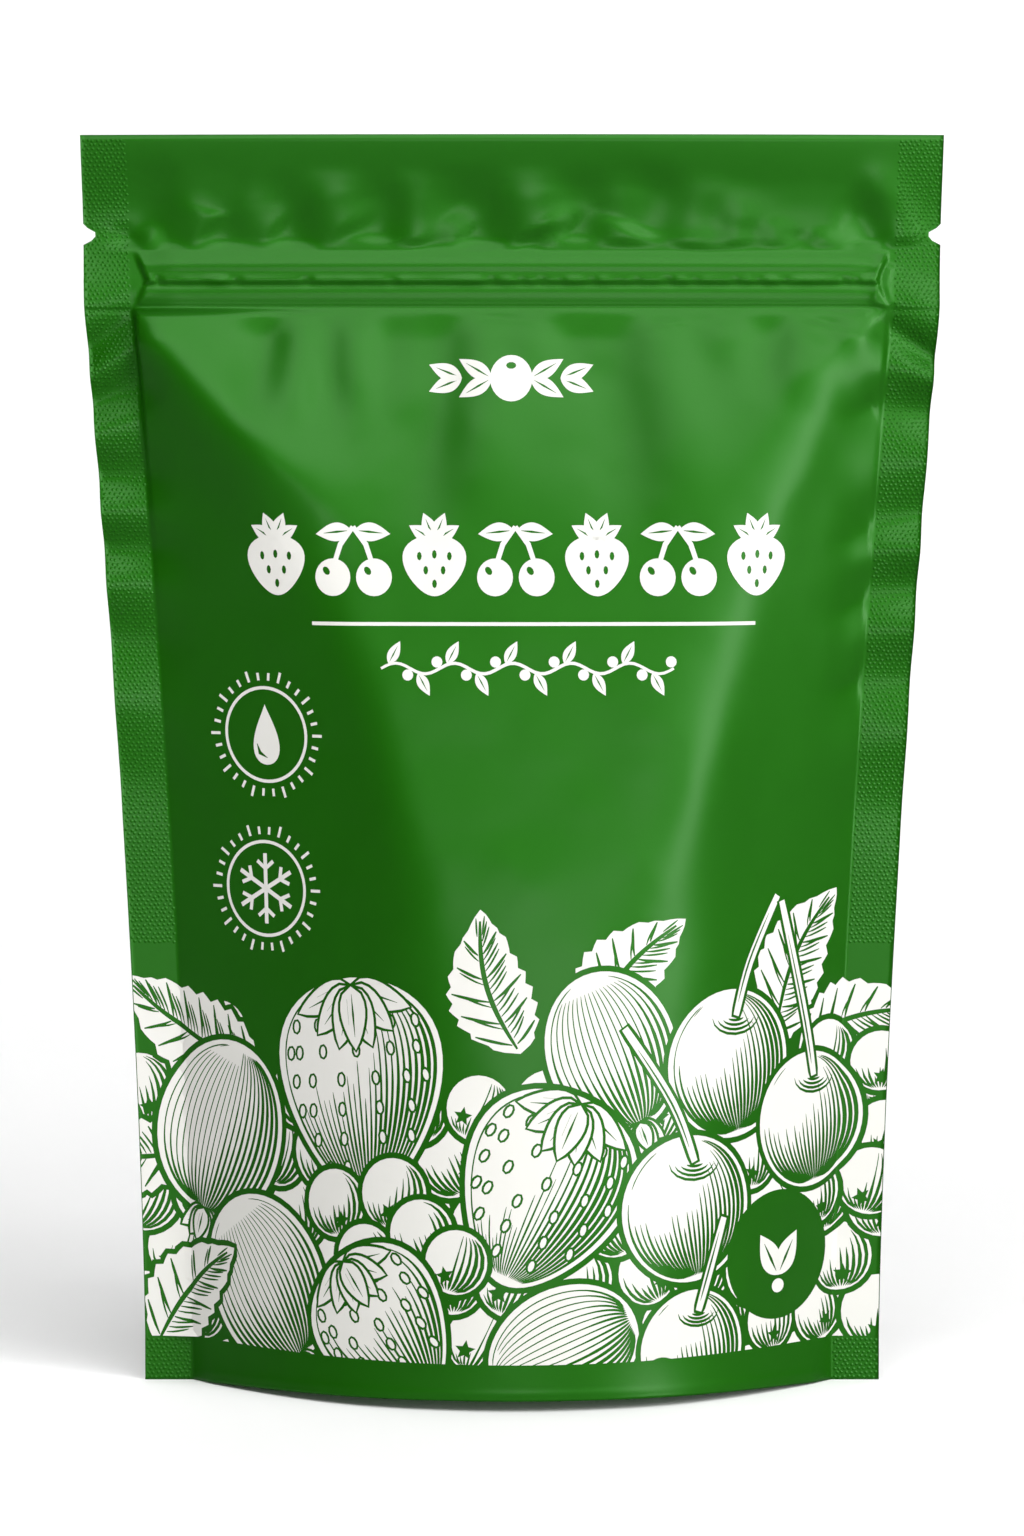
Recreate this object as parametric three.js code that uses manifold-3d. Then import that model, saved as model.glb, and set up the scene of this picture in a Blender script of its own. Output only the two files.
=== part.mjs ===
// A stand-up pouch of laminated film, welded shut and filled with freeze-dried berries.
//
// The front and back films are each a flat sheet, welded together down both sides and
// along the top. A press-to-close zip runs across near the top, with a loosely gathered
// header above it. Below the zip the contents and the gas push the films apart, and a
// folded bottom panel opens into a lens-shaped foot, so the pouch stands by itself.
//
// Every height has one cross-section. The outline says how much narrower the bulging
// pouch is than the flat sheet, and the sheet keeps its length, so that gives its depth.
//
// Millimetres. x runs across the pouch, -y is the front, z is up. The origin is the
// middle of the foot, on the surface that the pouch stands on.

import * as THREE from "three";
import { mergeVertices } from "three/addons/utils/BufferGeometryUtils.js";
import Module from "manifold-3d";

// Driving dimensions.
const HEIGHT = 216;
const FLAT_WIDTH = 150;
const SIDE_SEAL = 8.2;
const TOP_SEAL = 5;
const HALF_WELD = 0.2; // half the thickness of two welded films
const BASE_HALF_DEPTH = 33.4;
const ZIP_BOTTOM = 186.2;
const ZIP_TOP = 195.7;

// How much each half has narrowed: most at the foot, and a little at the zip.
const FOOT_SHRINK = 11.55;
const ZIP_SHRINK = 0.8;
const SHRINK_POWER = 1.5;

// The zip shows through the film as two bands with a bead between them.
const ZIP_RIBS = [
  { z: 193.7, half: 2.0, rise: 0.8 },
  { z: 191.05, half: 0.75, rise: 1.05 },
  { z: 188.1, half: 1.9, rise: 0.85 },
];
const ZIP_END_FADE = 3;
const ZIP_LEAN = 1.9;

// Each half of the front has a fold that runs down and inwards from the zip's end. By
// height: its place as a share of the half panel, its softness, and how sharply it turns.
const LEFT_FOLD = [
  [0, 0.2, 0.4, 0],
  [60, 0.2, 0.2, 0.4],
  [90, 0.25, 0.1, 0.7],
  [114.4, 0.35, 0.09, 0.8],
  [130, 0.43, 0.1, 0.86],
  [142, 0.5, 0.14, 0.9],
  [154.4, 0.59, 0.16, 0.93],
  [164.8, 0.73, 0.12, 0.96],
  [172.6, 0.82, 0.07, 0.98],
  [178, 0.9, 0.05, 1],
  [186, 1, 0.03, 1],
];
const RIGHT_FOLD = [
  [0, 0.5, 0.4, 0],
  [60, 0.5, 0.3, 0.35],
  [90, 0.54, 0.09, 0.72],
  [114.4, 0.61, 0.045, 0.86],
  [130, 0.66, 0.05, 0.9],
  [142, 0.73, 0.07, 0.92],
  [156, 0.79, 0.09, 0.95],
  [164.8, 0.82, 0.05, 0.97],
  [172.6, 0.87, 0.05, 0.98],
  [186, 1, 0.03, 1],
];
const FOLD_BLEND = 5;

// Puckers of the header: over its width the film comes forward to the right by rise. top
// and bottom are where it runs across the pouch.
const PUCKERS = [
  { top: -56, bottom: -56, rise: 0.75, width: 5 },
  { top: -51, bottom: -42.6, rise: 0.75, width: 5 },
  { top: -37, bottom: -32.2, rise: 0.85, width: 5 },
  { top: -18.7, bottom: -19.9, rise: 0.6, width: 4 },
  { top: -2.6, bottom: 0.7, rise: 1.05, width: 6 },
  { top: 15.8, bottom: 15.2, rise: 0.65, width: 4.5 },
  { top: 31.5, bottom: 26.3, rise: 0.8, width: 6.5 },
  { top: 57.1, bottom: 65.1, rise: 0.9, width: 3.6 },
];
const HEADER_SWELL = 0.7;

// Flutes that hang from the zip's lower edge, in the same terms.
const FLUTES = [
  { top: -38.9, bottom: -41.7, length: 16, rise: 1.05, width: 6 },
  { top: -29.4, bottom: -28.6, length: 16, rise: 0.85, width: 5 },
  { top: -8.4, bottom: -11.2, length: 40, rise: 0.95, width: 7.5 },
  { top: 22.2, bottom: 24.6, length: 40, rise: 0.95, width: 8.5 },
  { top: 34.3, bottom: 40.6, length: 17, rise: 0.65, width: 6 },
  { top: 48.4, bottom: 44.4, length: 17, rise: 0.9, width: 6 },
];
const STEP_RECOVERY = 6;

// The welded sides are shorter than the bulging panels need, so they buckle in waves.
// Each wave has its height on the inner and the outer edge of the seal, rise and half width.
const LEFT_WAVES = [
  [184.5, 178.5, -0.9, 3.2],
  [179, 174, 0.9, 3.2],
  [172.5, 169.5, -0.9, 3.4],
  [166, 164.5, 0.8, 4.4],
  [157.5, 157, -0.8, 3.6],
  [150.5, 150.5, 0.8, 3.6],
  [144.5, 144.5, -0.8, 3.6],
  [138, 138, 0.7, 4],
  [128.5, 129, -0.6, 4.4],
  [117, 117.5, 0.5, 5],
  [104, 104, -0.4, 5.5],
];
const RIGHT_WAVES = [
  [182.4, 177, -1, 2.4],
  [175.5, 174, 1, 3.2],
  [168.5, 168, -1, 3.4],
  [158, 159, 0.6, 4.4],
  [149.5, 150.5, -0.7, 3.6],
  [143.5, 144, 0.9, 3.4],
  [137, 137.5, -0.7, 3.4],
  [129.5, 130, 0.7, 3.6],
  [121.5, 121.5, -0.6, 4],
  [111, 111.5, 0.5, 5],
  [99, 99, -0.4, 5.5],
];
const WAVE_REACH = 5;

// The header is bowed forward a little.
const TOP_BOW = 4;
const BOW_START = 120;

// A rounded tear notch is cut into each side seal.
const NOTCH = { z: 198.7, depth: 2.1, radius: 1.2 };

// The bottom panel is welded inside a narrow rim and sags to the surface in the middle.
const RIM = 1.3;
const RIM_HEIGHT = 5.5;
const FOLD_HEIGHT = 9;
const RECESS_END = 0.93;

// How finely the sheets are divided.
const PANEL_COLUMNS = 32;
const BEND_STEPS = 4; // finer steps of the bend inside each column
const SEAL_COLUMNS = 2;
const RIM_LANDING = 36; // rows are coarse up to this height
const RECESS_COLUMNS = 22;
const RECESS_LANES = 12;

const HALF_PANEL = FLAT_WIDTH / 2 - SIDE_SEAL;

const clamp = (value, low, high) => Math.min(high, Math.max(low, value));

function smooth(from, to, value) {
  const s = clamp((value - from) / (to - from), 0, 1);
  return s * s * (3 - 2 * s);
}

const hump = (offset, half) => Math.exp(-((offset / half) ** 2));

// How far each half of the pouch has narrowed at a height because the film bulges.
function bulgeShrink(z) {
  return (FOOT_SHRINK - ZIP_SHRINK) * (1 - clamp(z / ZIP_BOTTOM, 0, 1) ** SHRINK_POWER);
}

// A fold's place, softness and strength at a height, blended so that it has no corners.
function foldAt(fold, z) {
  const sample = (height) => {
    const above = fold.findIndex(([at]) => at >= height);
    if (above === 0) return fold[0].slice(1);
    if (above < 0) return fold[fold.length - 1].slice(1);
    const [low, high] = [fold[above - 1], fold[above]];
    const mix = (height - low[0]) / (high[0] - low[0]);
    return [1, 2, 3].map((k) => low[k] * (1 - mix) + high[k] * mix);
  };
  const sum = [0, 0, 0];
  let total = 0;
  for (let off = -15; off <= 15; off++) {
    const weight = Math.exp(-0.5 * (off / FOLD_BLEND) ** 2);
    sample(z + off).forEach((value, k) => (sum[k] += weight * value));
    total += weight;
  }
  return sum.map((value) => value / total);
}

// How much of the steepest slope the sheet has at t: 0 in the middle of the panel, 1 at
// the side seal.
function slopeShare(t, [at, softness, strength]) {
  const even = Math.sin((t * Math.PI) / 2);
  const folded = smooth(at - softness, at + softness, t);
  return even + (folded - even) * strength;
}

// Bends half a sheet so that its middle stands depth in front of the seal. Returns x and
// the depth in front of the seal at each step, from the middle outwards.
function bendHalf(fold, depth, steps) {
  const step = HALF_PANEL / steps;
  const shares = Array.from({ length: steps }, (_, i) => slopeShare((i + 0.5) / steps, fold));
  const fallen = (steepest) =>
    shares.reduce((sum, share) => sum + step * Math.sin(steepest * share), 0);
  let low = 0;
  let high = 1.45;
  for (let i = 0; i < 30; i++) {
    const middle = (low + high) / 2;
    if (fallen(middle) < depth) low = middle;
    else high = middle;
  }
  const points = [[0, fallen(low)]];
  for (const share of shares) {
    const [x, left] = points[points.length - 1];
    points.push([x + step * Math.cos(low * share), left - step * Math.sin(low * share)]);
  }
  return points;
}

// Both halves at a height, at the depth where their width matches the outline.
function bentSheet(z, steps) {
  const folds = [LEFT_FOLD, RIGHT_FOLD].map((fold) => foldAt(fold, z));
  const wanted = 2 * (HALF_PANEL - bulgeShrink(z));
  let low = 0;
  let high = BASE_HALF_DEPTH;
  for (let i = 0; i < 22; i++) {
    const depth = (low + high) / 2;
    const width = folds.reduce((sum, fold) => sum + bendHalf(fold, depth, steps)[steps][0], 0);
    if (width > wanted) low = depth;
    else high = depth;
  }
  const [left, right] = folds.map((fold) => bendHalf(fold, low, steps));
  const middle = (right[steps][0] - left[steps][0]) / 2;
  const pull = ZIP_SHRINK * clamp((HEIGHT - z) / (HEIGHT - ZIP_BOTTOM), 0, 1);
  const squeeze = 1 - pull / HALF_PANEL;
  return {
    left: left.map(([x, depth]) => [(x + middle) * squeeze, depth]),
    right: right.map(([x, depth]) => [(x - middle) * squeeze, depth]),
  };
}

// The whole cross-section at a height: for each column its flat place u, its real x and
// the depth of the film in front of the seal plane.
function sectionAt(z) {
  const half = PANEL_COLUMNS / 2;
  const { left, right } = bentSheet(z, half * BEND_STEPS);
  const [leftEdge, rightEdge] = [left, right].map((side) => side[side.length - 1][0]);
  const columns = [];
  for (let i = SEAL_COLUMNS; i > 0; i--) {
    const across = (SIDE_SEAL * i) / SEAL_COLUMNS;
    columns.push({ u: -HALF_PANEL - across, x: -leftEdge - across, depth: 0 });
  }
  for (let i = -half; i <= half; i++) {
    const [x, depth] = (i < 0 ? left : right)[Math.abs(i) * BEND_STEPS];
    columns.push({ u: (HALF_PANEL * i) / half, x: i < 0 ? -x : x, depth });
  }
  for (let i = 1; i <= SEAL_COLUMNS; i++) {
    const across = (SIDE_SEAL * i) / SEAL_COLUMNS;
    columns.push({ u: HALF_PANEL + across, x: rightEdge + across, depth: 0 });
  }
  return columns;
}

// How far the zip's bands stand out at a height.
function zipRelief(u, z) {
  const inside = smooth(HALF_PANEL - 0.5, HALF_PANEL - ZIP_END_FADE, Math.abs(u));
  const ribs = ZIP_RIBS.map(({ z: at, half, rise }) => {
    const off = clamp(Math.abs(z - at) / half, 0, 1);
    return rise * Math.sqrt(1 - off * off);
  });
  return inside * Math.max(...ribs);
}

// How far the header's films stand off their middle.
function headerSwell(u, z) {
  const up = clamp((z - ZIP_TOP) / (HEIGHT - TOP_SEAL - ZIP_TOP), 0, 1);
  const inside = smooth(HALF_PANEL + 0.5, HALF_PANEL - 5, Math.abs(u));
  const rounded = 1 - clamp(1 - up / 0.35, 0, 1) ** 2;
  return HEADER_SWELL * inside * rounded * (1 - smooth(0.3, 1, up));
}

// One pucker: a soft rise across its width, that goes slowly back on both sides.
function step(off, { rise, width }) {
  const ramp = Math.sin(clamp(off / width, -0.5, 0.5) * Math.PI);
  const back = Math.exp(-Math.max(0, Math.abs(off) - width / 2) / STEP_RECOVERY);
  return 0.5 * rise * ramp * back;
}

// The header's puckers. Its two films are so close that they move together.
function headerWaves(x, z) {
  const up = clamp((z - ZIP_TOP) / (HEIGHT - TOP_SEAL - ZIP_TOP), 0, 1);
  const strength = smooth(0, 0.12, up) * (1 - smooth(0.5, 1, up));
  const at = ({ top, bottom }) => bottom + (top - bottom) * up;
  return strength * PUCKERS.reduce((sum, one) => sum + step(x - at(one), one), 0);
}

// The flutes below the zip, which die out down the panel.
function flutes(x, z) {
  return FLUTES.reduce((sum, one) => {
    const down = (ZIP_BOTTOM - 1.2 - z) / one.length;
    if (down <= 0 || down >= 1) return sum;
    const at = one.top + (one.bottom - one.top) * down;
    const strength = smooth(0, 0.25, down) * (1 - smooth(0.2, 1, down));
    return sum + strength * step(x - at, one);
  }, 0);
}

// Both films of a side seal buckle together, most where the belly fills out fastest.
function sealWave(u, z) {
  const inward = Math.max(0, HALF_PANEL - Math.abs(u));
  const outward = clamp((Math.abs(u) - HALF_PANEL) / SIDE_SEAL, 0, 1);
  const reach = Math.exp(-((inward / WAVE_REACH) ** 2)) * (0.45 + 0.55 * outward);
  const shift = (u < 0 ? LEFT_WAVES : RIGHT_WAVES).reduce(
    (sum, [inner, outer, rise, half]) =>
      sum + rise * hump(z - inner - (outer - inner) * outward, half),
    0,
  );
  return -shift * reach;
}

// The zip leans back, the header comes forward again, and its middle most of all.
function bow(x, z) {
  const up = clamp((z - BOW_START) / (HEIGHT - BOW_START), 0, 1);
  const lean = smooth(ZIP_BOTTOM - 8, ZIP_TOP + 3, z) - smooth(ZIP_TOP - 1, HEIGHT + 1, z);
  return ZIP_LEAN * lean - TOP_BOW * up * up * (1 - (x / (FLAT_WIDTH / 2)) ** 2);
}

// Heights of the rows: coarse near the foot, fine over the zip.
function rowHeights() {
  const rows = [];
  const fill = (from, to, count) => {
    for (let i = 0; i < count; i++) rows.push(from + ((to - from) * i) / count);
  };
  fill(0, RIM_LANDING, 6);
  fill(RIM_LANDING, ZIP_BOTTOM - 6, 40);
  fill(ZIP_BOTTOM - 6, ZIP_BOTTOM, 3);
  fill(ZIP_BOTTOM, ZIP_TOP, 13);
  fill(ZIP_TOP, HEIGHT - TOP_SEAL, 6);
  rows.push(HEIGHT - TOP_SEAL, HEIGHT);
  return rows;
}

// The front and back films as one closed skin: two grids joined round their edges.
function pouchSkin() {
  const rows = rowHeights().map((z) => {
    const columns = sectionAt(z);
    const film = (facing) =>
      columns.map(({ u, x, depth }) => {
        const across = facing > 0 ? -x : x;
        const inside = smooth(HALF_PANEL, HALF_PANEL - 1.2, Math.abs(u));
        const relief = zipRelief(u, z) + headerSwell(u, z) + inside * flutes(across, z);
        const out = HALF_WELD + Math.max(0, depth + relief);
        return [x, sealWave(u, z) + bow(x, z) - headerWaves(x, z) + facing * out, z];
      });
    return [film(-1), film(1)];
  });
  const width = rows[0][0].length;
  const positions = rows.flat(2).flat();
  const corner = (row, side, column) => (row * 2 + side) * width + column;
  const index = [];
  const quad = (a, b, c, d) => index.push(a, b, c, a, c, d);
  for (let r = 0; r + 1 < rows.length; r++) {
    for (let c = 0; c + 1 < width; c++) {
      quad(corner(r, 0, c), corner(r, 0, c + 1), corner(r + 1, 0, c + 1), corner(r + 1, 0, c));
      quad(corner(r, 1, c + 1), corner(r, 1, c), corner(r + 1, 1, c), corner(r + 1, 1, c + 1));
    }
    quad(corner(r, 1, 0), corner(r, 0, 0), corner(r + 1, 0, 0), corner(r + 1, 1, 0));
    const e = width - 1;
    quad(corner(r, 0, e), corner(r, 1, e), corner(r + 1, 1, e), corner(r + 1, 0, e));
  }
  const top = rows.length - 1;
  for (let c = 0; c + 1 < width; c++) {
    quad(corner(0, 1, c), corner(0, 1, c + 1), corner(0, 0, c + 1), corner(0, 0, c));
    quad(corner(top, 0, c), corner(top, 0, c + 1), corner(top, 1, c + 1), corner(top, 1, c));
  }
  return closedGeometry(positions, index);
}

// The space under the bottom panel, inside the rim. Its roof is the panel: it starts at
// the top of its weld, sags to the floor in the middle and folds up towards the corners.
function footRecess() {
  const { left } = bentSheet(0, 2 * RECESS_COLUMNS);
  const floor = -1;
  const lanes = [];
  for (let i = 0; i <= RECESS_COLUMNS; i++) {
    const t = -RECESS_END + (2 * RECESS_END * i) / RECESS_COLUMNS;
    const place = Math.abs(t) * 2 * RECESS_COLUMNS;
    const below = Math.min(Math.floor(place), 2 * RECESS_COLUMNS - 1);
    const mix = place - below;
    const [x, depth] = [0, 1].map((k) => left[below][k] * (1 - mix) + left[below + 1][k] * mix);
    const half = Math.max(0.3, depth - RIM);
    const fold = FOLD_HEIGHT * t ** 4;
    for (let j = 0; j <= RECESS_LANES; j++) {
      const across = -1 + (2 * j) / RECESS_LANES;
      const sag = (1 - across * across) * (1 - t * t);
      const roof = RIM_HEIGHT * (1 - 1.6 * sag) + fold * (1 - Math.abs(across));
      lanes.push([Math.sign(t) * x, across * half, Math.max(floor + 0.2, roof)]);
    }
  }
  const stride = RECESS_LANES + 1;
  const count = lanes.length;
  const positions = [...lanes, ...lanes.map(([x, y]) => [x, y, floor])].flat();
  const index = [];
  const quad = (a, b, c, d) => index.push(a, b, c, a, c, d);
  const at = (i, j, low) => i * stride + j + (low ? count : 0);
  for (let i = 0; i < RECESS_COLUMNS; i++) {
    for (let j = 0; j < RECESS_LANES; j++) {
      quad(at(i, j), at(i + 1, j), at(i + 1, j + 1), at(i, j + 1));
      quad(at(i, j, 1), at(i, j + 1, 1), at(i + 1, j + 1, 1), at(i + 1, j, 1));
    }
    quad(at(i, 0, 1), at(i + 1, 0, 1), at(i + 1, 0), at(i, 0));
    const e = RECESS_LANES;
    quad(at(i + 1, e, 1), at(i, e, 1), at(i, e), at(i + 1, e));
  }
  for (let j = 0; j < RECESS_LANES; j++) {
    const e = RECESS_COLUMNS;
    quad(at(0, j + 1, 1), at(0, j, 1), at(0, j), at(0, j + 1));
    quad(at(e, j, 1), at(e, j + 1, 1), at(e, j + 1), at(e, j));
  }
  return closedGeometry(positions, index);
}

// A round-ended slot that opens past the edge of one side seal.
function notchCutter(side) {
  const reach = FLAT_WIDTH / 2 - NOTCH.depth + NOTCH.radius;
  const outline = new THREE.Shape();
  outline.absarc(0, 0, NOTCH.radius, Math.PI / 2, (3 * Math.PI) / 2, false);
  outline.lineTo(2 * NOTCH.depth, -NOTCH.radius);
  outline.lineTo(2 * NOTCH.depth, NOTCH.radius);
  outline.closePath();
  const through = 6;
  const cutter = new THREE.ExtrudeGeometry(outline, {
    depth: through,
    bevelEnabled: false,
    curveSegments: 8,
  });
  cutter.translate(0, 0, -through / 2);
  cutter.rotateX(Math.PI / 2);
  if (side < 0) cutter.rotateZ(Math.PI);
  return cutter.translate(side * reach, 0, NOTCH.z);
}

function closedGeometry(positions, index) {
  const geometry = new THREE.BufferGeometry();
  geometry.setAttribute("position", new THREE.Float32BufferAttribute(positions, 3));
  return geometry.setIndex(index);
}

const wasm = await Module();
wasm.setup();

function toSolid(geometry) {
  const bare = geometry.clone();
  bare.deleteAttribute("normal");
  bare.deleteAttribute("uv");
  const merged = mergeVertices(bare, 1e-4);
  return new wasm.Manifold(
    new wasm.Mesh({
      numProp: 3,
      vertProperties: new Float32Array(merged.attributes.position.array),
      triVerts: new Uint32Array(merged.index.array),
    }),
  );
}

function toGeometry(solid) {
  const { vertProperties, triVerts } = solid.getMesh();
  const geometry = closedGeometry(Array.from(vertProperties), Array.from(triVerts));
  geometry.computeVertexNormals();
  return geometry;
}

const film = new THREE.MeshStandardMaterial({ color: "#2f7a18", roughness: 0.45, metalness: 0.5 });

const solid = [footRecess(), notchCutter(-1), notchCutter(1)].reduce(
  (body, cutter) => body.subtract(toSolid(cutter)),
  toSolid(pouchSkin()),
);

const pouch = new THREE.Mesh(toGeometry(solid), film);
pouch.name = "pouch";

const root = new THREE.Group();
root.add(pouch);

export default root;
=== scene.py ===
# %% [markdown]
# # A stand-up pouch of freeze-dried berries
#
# The real pouch is two sheets of laminated film welded together at their edges, with a
# third sheet folded into the bottom as a foot. Nothing on it is a plain box: every
# surface is thin film that was flat once and has been bent by what is inside.
#
# The lesson follows that order. It bends the film, presses the creases and the zip into
# it, knurls the welds, and then prints on it in white. All the shape work is done in
# millimetres on the flat film: u runs across the sheet and z runs up it.

import math

import bpy
import numpy as np
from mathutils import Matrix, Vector
from mathutils.geometry import delaunay_2d_cdt


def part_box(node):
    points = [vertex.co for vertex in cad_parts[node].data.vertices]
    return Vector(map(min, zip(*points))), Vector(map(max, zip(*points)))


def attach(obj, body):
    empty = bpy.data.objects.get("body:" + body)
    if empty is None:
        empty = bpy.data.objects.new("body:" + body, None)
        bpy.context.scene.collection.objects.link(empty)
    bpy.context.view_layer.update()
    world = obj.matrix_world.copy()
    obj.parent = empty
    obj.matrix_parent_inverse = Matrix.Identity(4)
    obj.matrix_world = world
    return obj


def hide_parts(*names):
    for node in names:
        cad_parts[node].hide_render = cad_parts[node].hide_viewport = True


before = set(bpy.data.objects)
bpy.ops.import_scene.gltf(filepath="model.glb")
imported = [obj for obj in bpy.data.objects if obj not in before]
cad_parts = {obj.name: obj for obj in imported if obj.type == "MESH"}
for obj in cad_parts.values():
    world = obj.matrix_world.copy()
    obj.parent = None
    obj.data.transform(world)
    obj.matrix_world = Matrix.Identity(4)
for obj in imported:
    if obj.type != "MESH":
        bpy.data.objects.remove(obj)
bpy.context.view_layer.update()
MM = 0.001

# %% [markdown]
# ## Camera, floor and light
#
# The picture is a product shot: a long lens a metre away, a little above the middle of
# the pouch and held level, on a white sweep. A satin film shows its shape by what it
# mirrors, so most lights are large soft boxes in front, above and on the right. The left
# has one fill that lights the film but isn't mirrored in it, so the folds there stay dark.
# The sweep is kept out of the mirror image too, as a photographer keeps a bright floor
# out of it with black cards.

# %% Camera
CAMERA_DISTANCE = 1.0
CAMERA_HEIGHT = 0.176
PICTURE_MIDDLE = 0.1061
LENS_MM = 135.0
SENSOR_MM = 36.0

camera_data = bpy.data.cameras.new("camera")
camera_data.lens = LENS_MM
camera_data.sensor_width = SENSOR_MM
camera_data.shift_y = (PICTURE_MIDDLE - CAMERA_HEIGHT) / CAMERA_DISTANCE * LENS_MM / SENSOR_MM
camera = bpy.data.objects.new("camera", camera_data)
camera.location = (0.0, -CAMERA_DISTANCE, CAMERA_HEIGHT)
camera.rotation_euler = (math.radians(90.0), 0.0, 0.0)
bpy.context.scene.collection.objects.link(camera)
bpy.context.scene.camera = camera
bpy.context.scene.view_settings.view_transform = "Standard"
print("camera stands", CAMERA_DISTANCE, "m in front, at", CAMERA_HEIGHT, "m")


# %% Colours and nodes
def linear(hex_colour):
    """An sRGB colour such as #2f7a18 as the linear colour that shaders use."""
    parts = [int(hex_colour[i:i + 2], 16) / 255 for i in (1, 3, 5)]
    return (*[p / 12.92 if p <= 0.04045 else ((p + 0.055) / 1.055) ** 2.4 for p in parts], 1.0)


def add_node(tree, kind, settings=None, inputs=None):
    """Adds a node, sets its properties, and fills or links its inputs."""
    made = tree.nodes.new(kind)
    for key, value in (settings or {}).items():
        setattr(made, key, value)
    for key, value in (inputs or {}).items():
        if isinstance(value, bpy.types.NodeSocket):
            tree.links.new(value, made.inputs[key])
        else:
            made.inputs[key].default_value = value
    return made


def new_material(name):
    """An empty node material and its tree."""
    material = bpy.data.materials.new(name)
    material.use_nodes = True
    material.node_tree.nodes.clear()
    return material, material.node_tree


def mesh_object(name, points, faces, smooth=True):
    """A mesh object from points in millimetres."""
    mesh = bpy.data.meshes.new(name)
    mesh.from_pydata((np.asarray(points) * MM).tolist(), [], faces)
    mesh.validate()
    if smooth:
        mesh.shade_smooth()
    else:
        mesh.shade_flat()
    made = bpy.data.objects.new(name, mesh)
    bpy.context.scene.collection.objects.link(made)
    return made


print("a mid green is", [round(c, 3) for c in linear("#2f7a18")[:3]], "to the shaders")

# %% The white sweep that the pouch stands on
SWEEP_HALF_WIDTH = 2600.0
SWEEP_FRONT = -2400.0
SWEEP_BACK = 700.0
SWEEP_RADIUS = 450.0
SWEEP_HEIGHT = 2400.0
SWEEP_CURVE_STEPS = 24

curve_start = SWEEP_BACK - SWEEP_RADIUS
sweep_profile = [(SWEEP_FRONT, 0.0), (curve_start, 0.0)]
for k in range(1, SWEEP_CURVE_STEPS + 1):
    turn = math.radians(90 * k / SWEEP_CURVE_STEPS)
    y = curve_start + SWEEP_RADIUS * math.sin(turn)
    sweep_profile.append((y, SWEEP_RADIUS * (1 - math.cos(turn))))
sweep_profile.append((SWEEP_BACK, SWEEP_HEIGHT))
sweep_sides = (-SWEEP_HALF_WIDTH, SWEEP_HALF_WIDTH)
sweep_points = [(x, y, z) for y, z in sweep_profile for x in sweep_sides]
sweep_faces = [(2 * i, 2 * i + 1, 2 * i + 3, 2 * i + 2) for i in range(len(sweep_profile) - 1)]
sweep = mesh_object("sweep", sweep_points, sweep_faces)

# Matt white paper: bright everywhere, with hardly any gloss. It is clear from its far
# side, so that a view from behind or from below looks through it at the pouch.
paper, tree = new_material("matt_white_paper")
shader = add_node(tree, "ShaderNodeBsdfPrincipled", inputs={
    "Base Color": linear("#fafafa"), "Roughness": 0.9, "Specular IOR Level": 0.1,
})
clear = add_node(tree, "ShaderNodeBsdfTransparent")
facing = add_node(tree, "ShaderNodeNewGeometry")
one_sided = add_node(tree, "ShaderNodeMixShader", inputs={
    0: facing.outputs["Backfacing"], 1: shader.outputs["BSDF"], 2: clear.outputs["BSDF"],
})
add_node(tree, "ShaderNodeOutputMaterial", inputs={"Surface": one_sided.outputs["Shader"]})
sweep.data.materials.append(paper)
sweep.visible_glossy = False
print("the sweep is", 2 * SWEEP_HALF_WIDTH * MM, "m wide")

# %% Soft boxes, in metres and watts: place, width, height, power
POUCH_MIDDLE = Vector((0.0, 0.0, 0.1))
SOFT_BOXES = {
    "key_box": ((0.85, -0.95, 0.9), 0.8, 0.8, 6.4),
    "side_box": ((1.3, -0.5, 0.7), 0.7, 0.9, 1.2),
    "ridge_box": ((1.0, -0.9, 0.3), 0.4, 1.0, 10.7),
    "right_box": ((0.9, -1.9, 0.5), 0.8, 0.8, 2.2),
    "front_box": ((0.0, -1.1, 1.2), 1.3, 0.6, 10.2),
    "high_box": ((0.1, -0.5, 1.5), 1.2, 0.5, 7.6),
    "low_box": ((0.1, -2.2, 0.25), 0.9, 0.4, 8.9),
    "left_fill": ((-1.2, -1.0, 0.7), 1.0, 1.0, 2.0),
}
for name, (place, width, height, watts) in SOFT_BOXES.items():
    data = bpy.data.lights.new(name, "AREA")
    data.shape = "RECTANGLE"
    data.size = width
    data.size_y = height
    data.energy = watts
    box = bpy.data.objects.new(name, data)
    box.location = place
    box.rotation_euler = (POUCH_MIDDLE - Vector(place)).to_track_quat("-Z", "Y").to_euler()
    bpy.context.scene.collection.objects.link(box)
bpy.data.objects["left_fill"].visible_glossy = False
print(len(SOFT_BOXES), "soft boxes,", sum(box[3] for box in SOFT_BOXES.values()), "W in all")

# %% The room: dark above the horizon, and dimly lit by its floor below
ROOM_FLOOR = 0.32
HORIZON_BLUR = 0.1
room = bpy.data.worlds.new("dim_room")
room.use_nodes = True
room.node_tree.nodes.clear()
tree = room.node_tree
direction = add_node(tree, "ShaderNodeTexCoord")
axes = add_node(tree, "ShaderNodeSeparateXYZ", inputs={"Vector": direction.outputs["Generated"]})
below = add_node(tree, "ShaderNodeMapRange", inputs={
    "Value": axes.outputs["Z"], "From Min": 0.0, "From Max": -HORIZON_BLUR,
    "To Min": 0.0, "To Max": ROOM_FLOOR,
})
glow = add_node(tree, "ShaderNodeBackground", inputs={
    "Color": linear("#ffffff"), "Strength": below.outputs["Result"],
})
add_node(tree, "ShaderNodeOutputWorld", inputs={"Surface": glow.outputs["Background"]})
bpy.context.scene.world = room
print("the room's floor glows at", ROOM_FLOOR)

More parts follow.
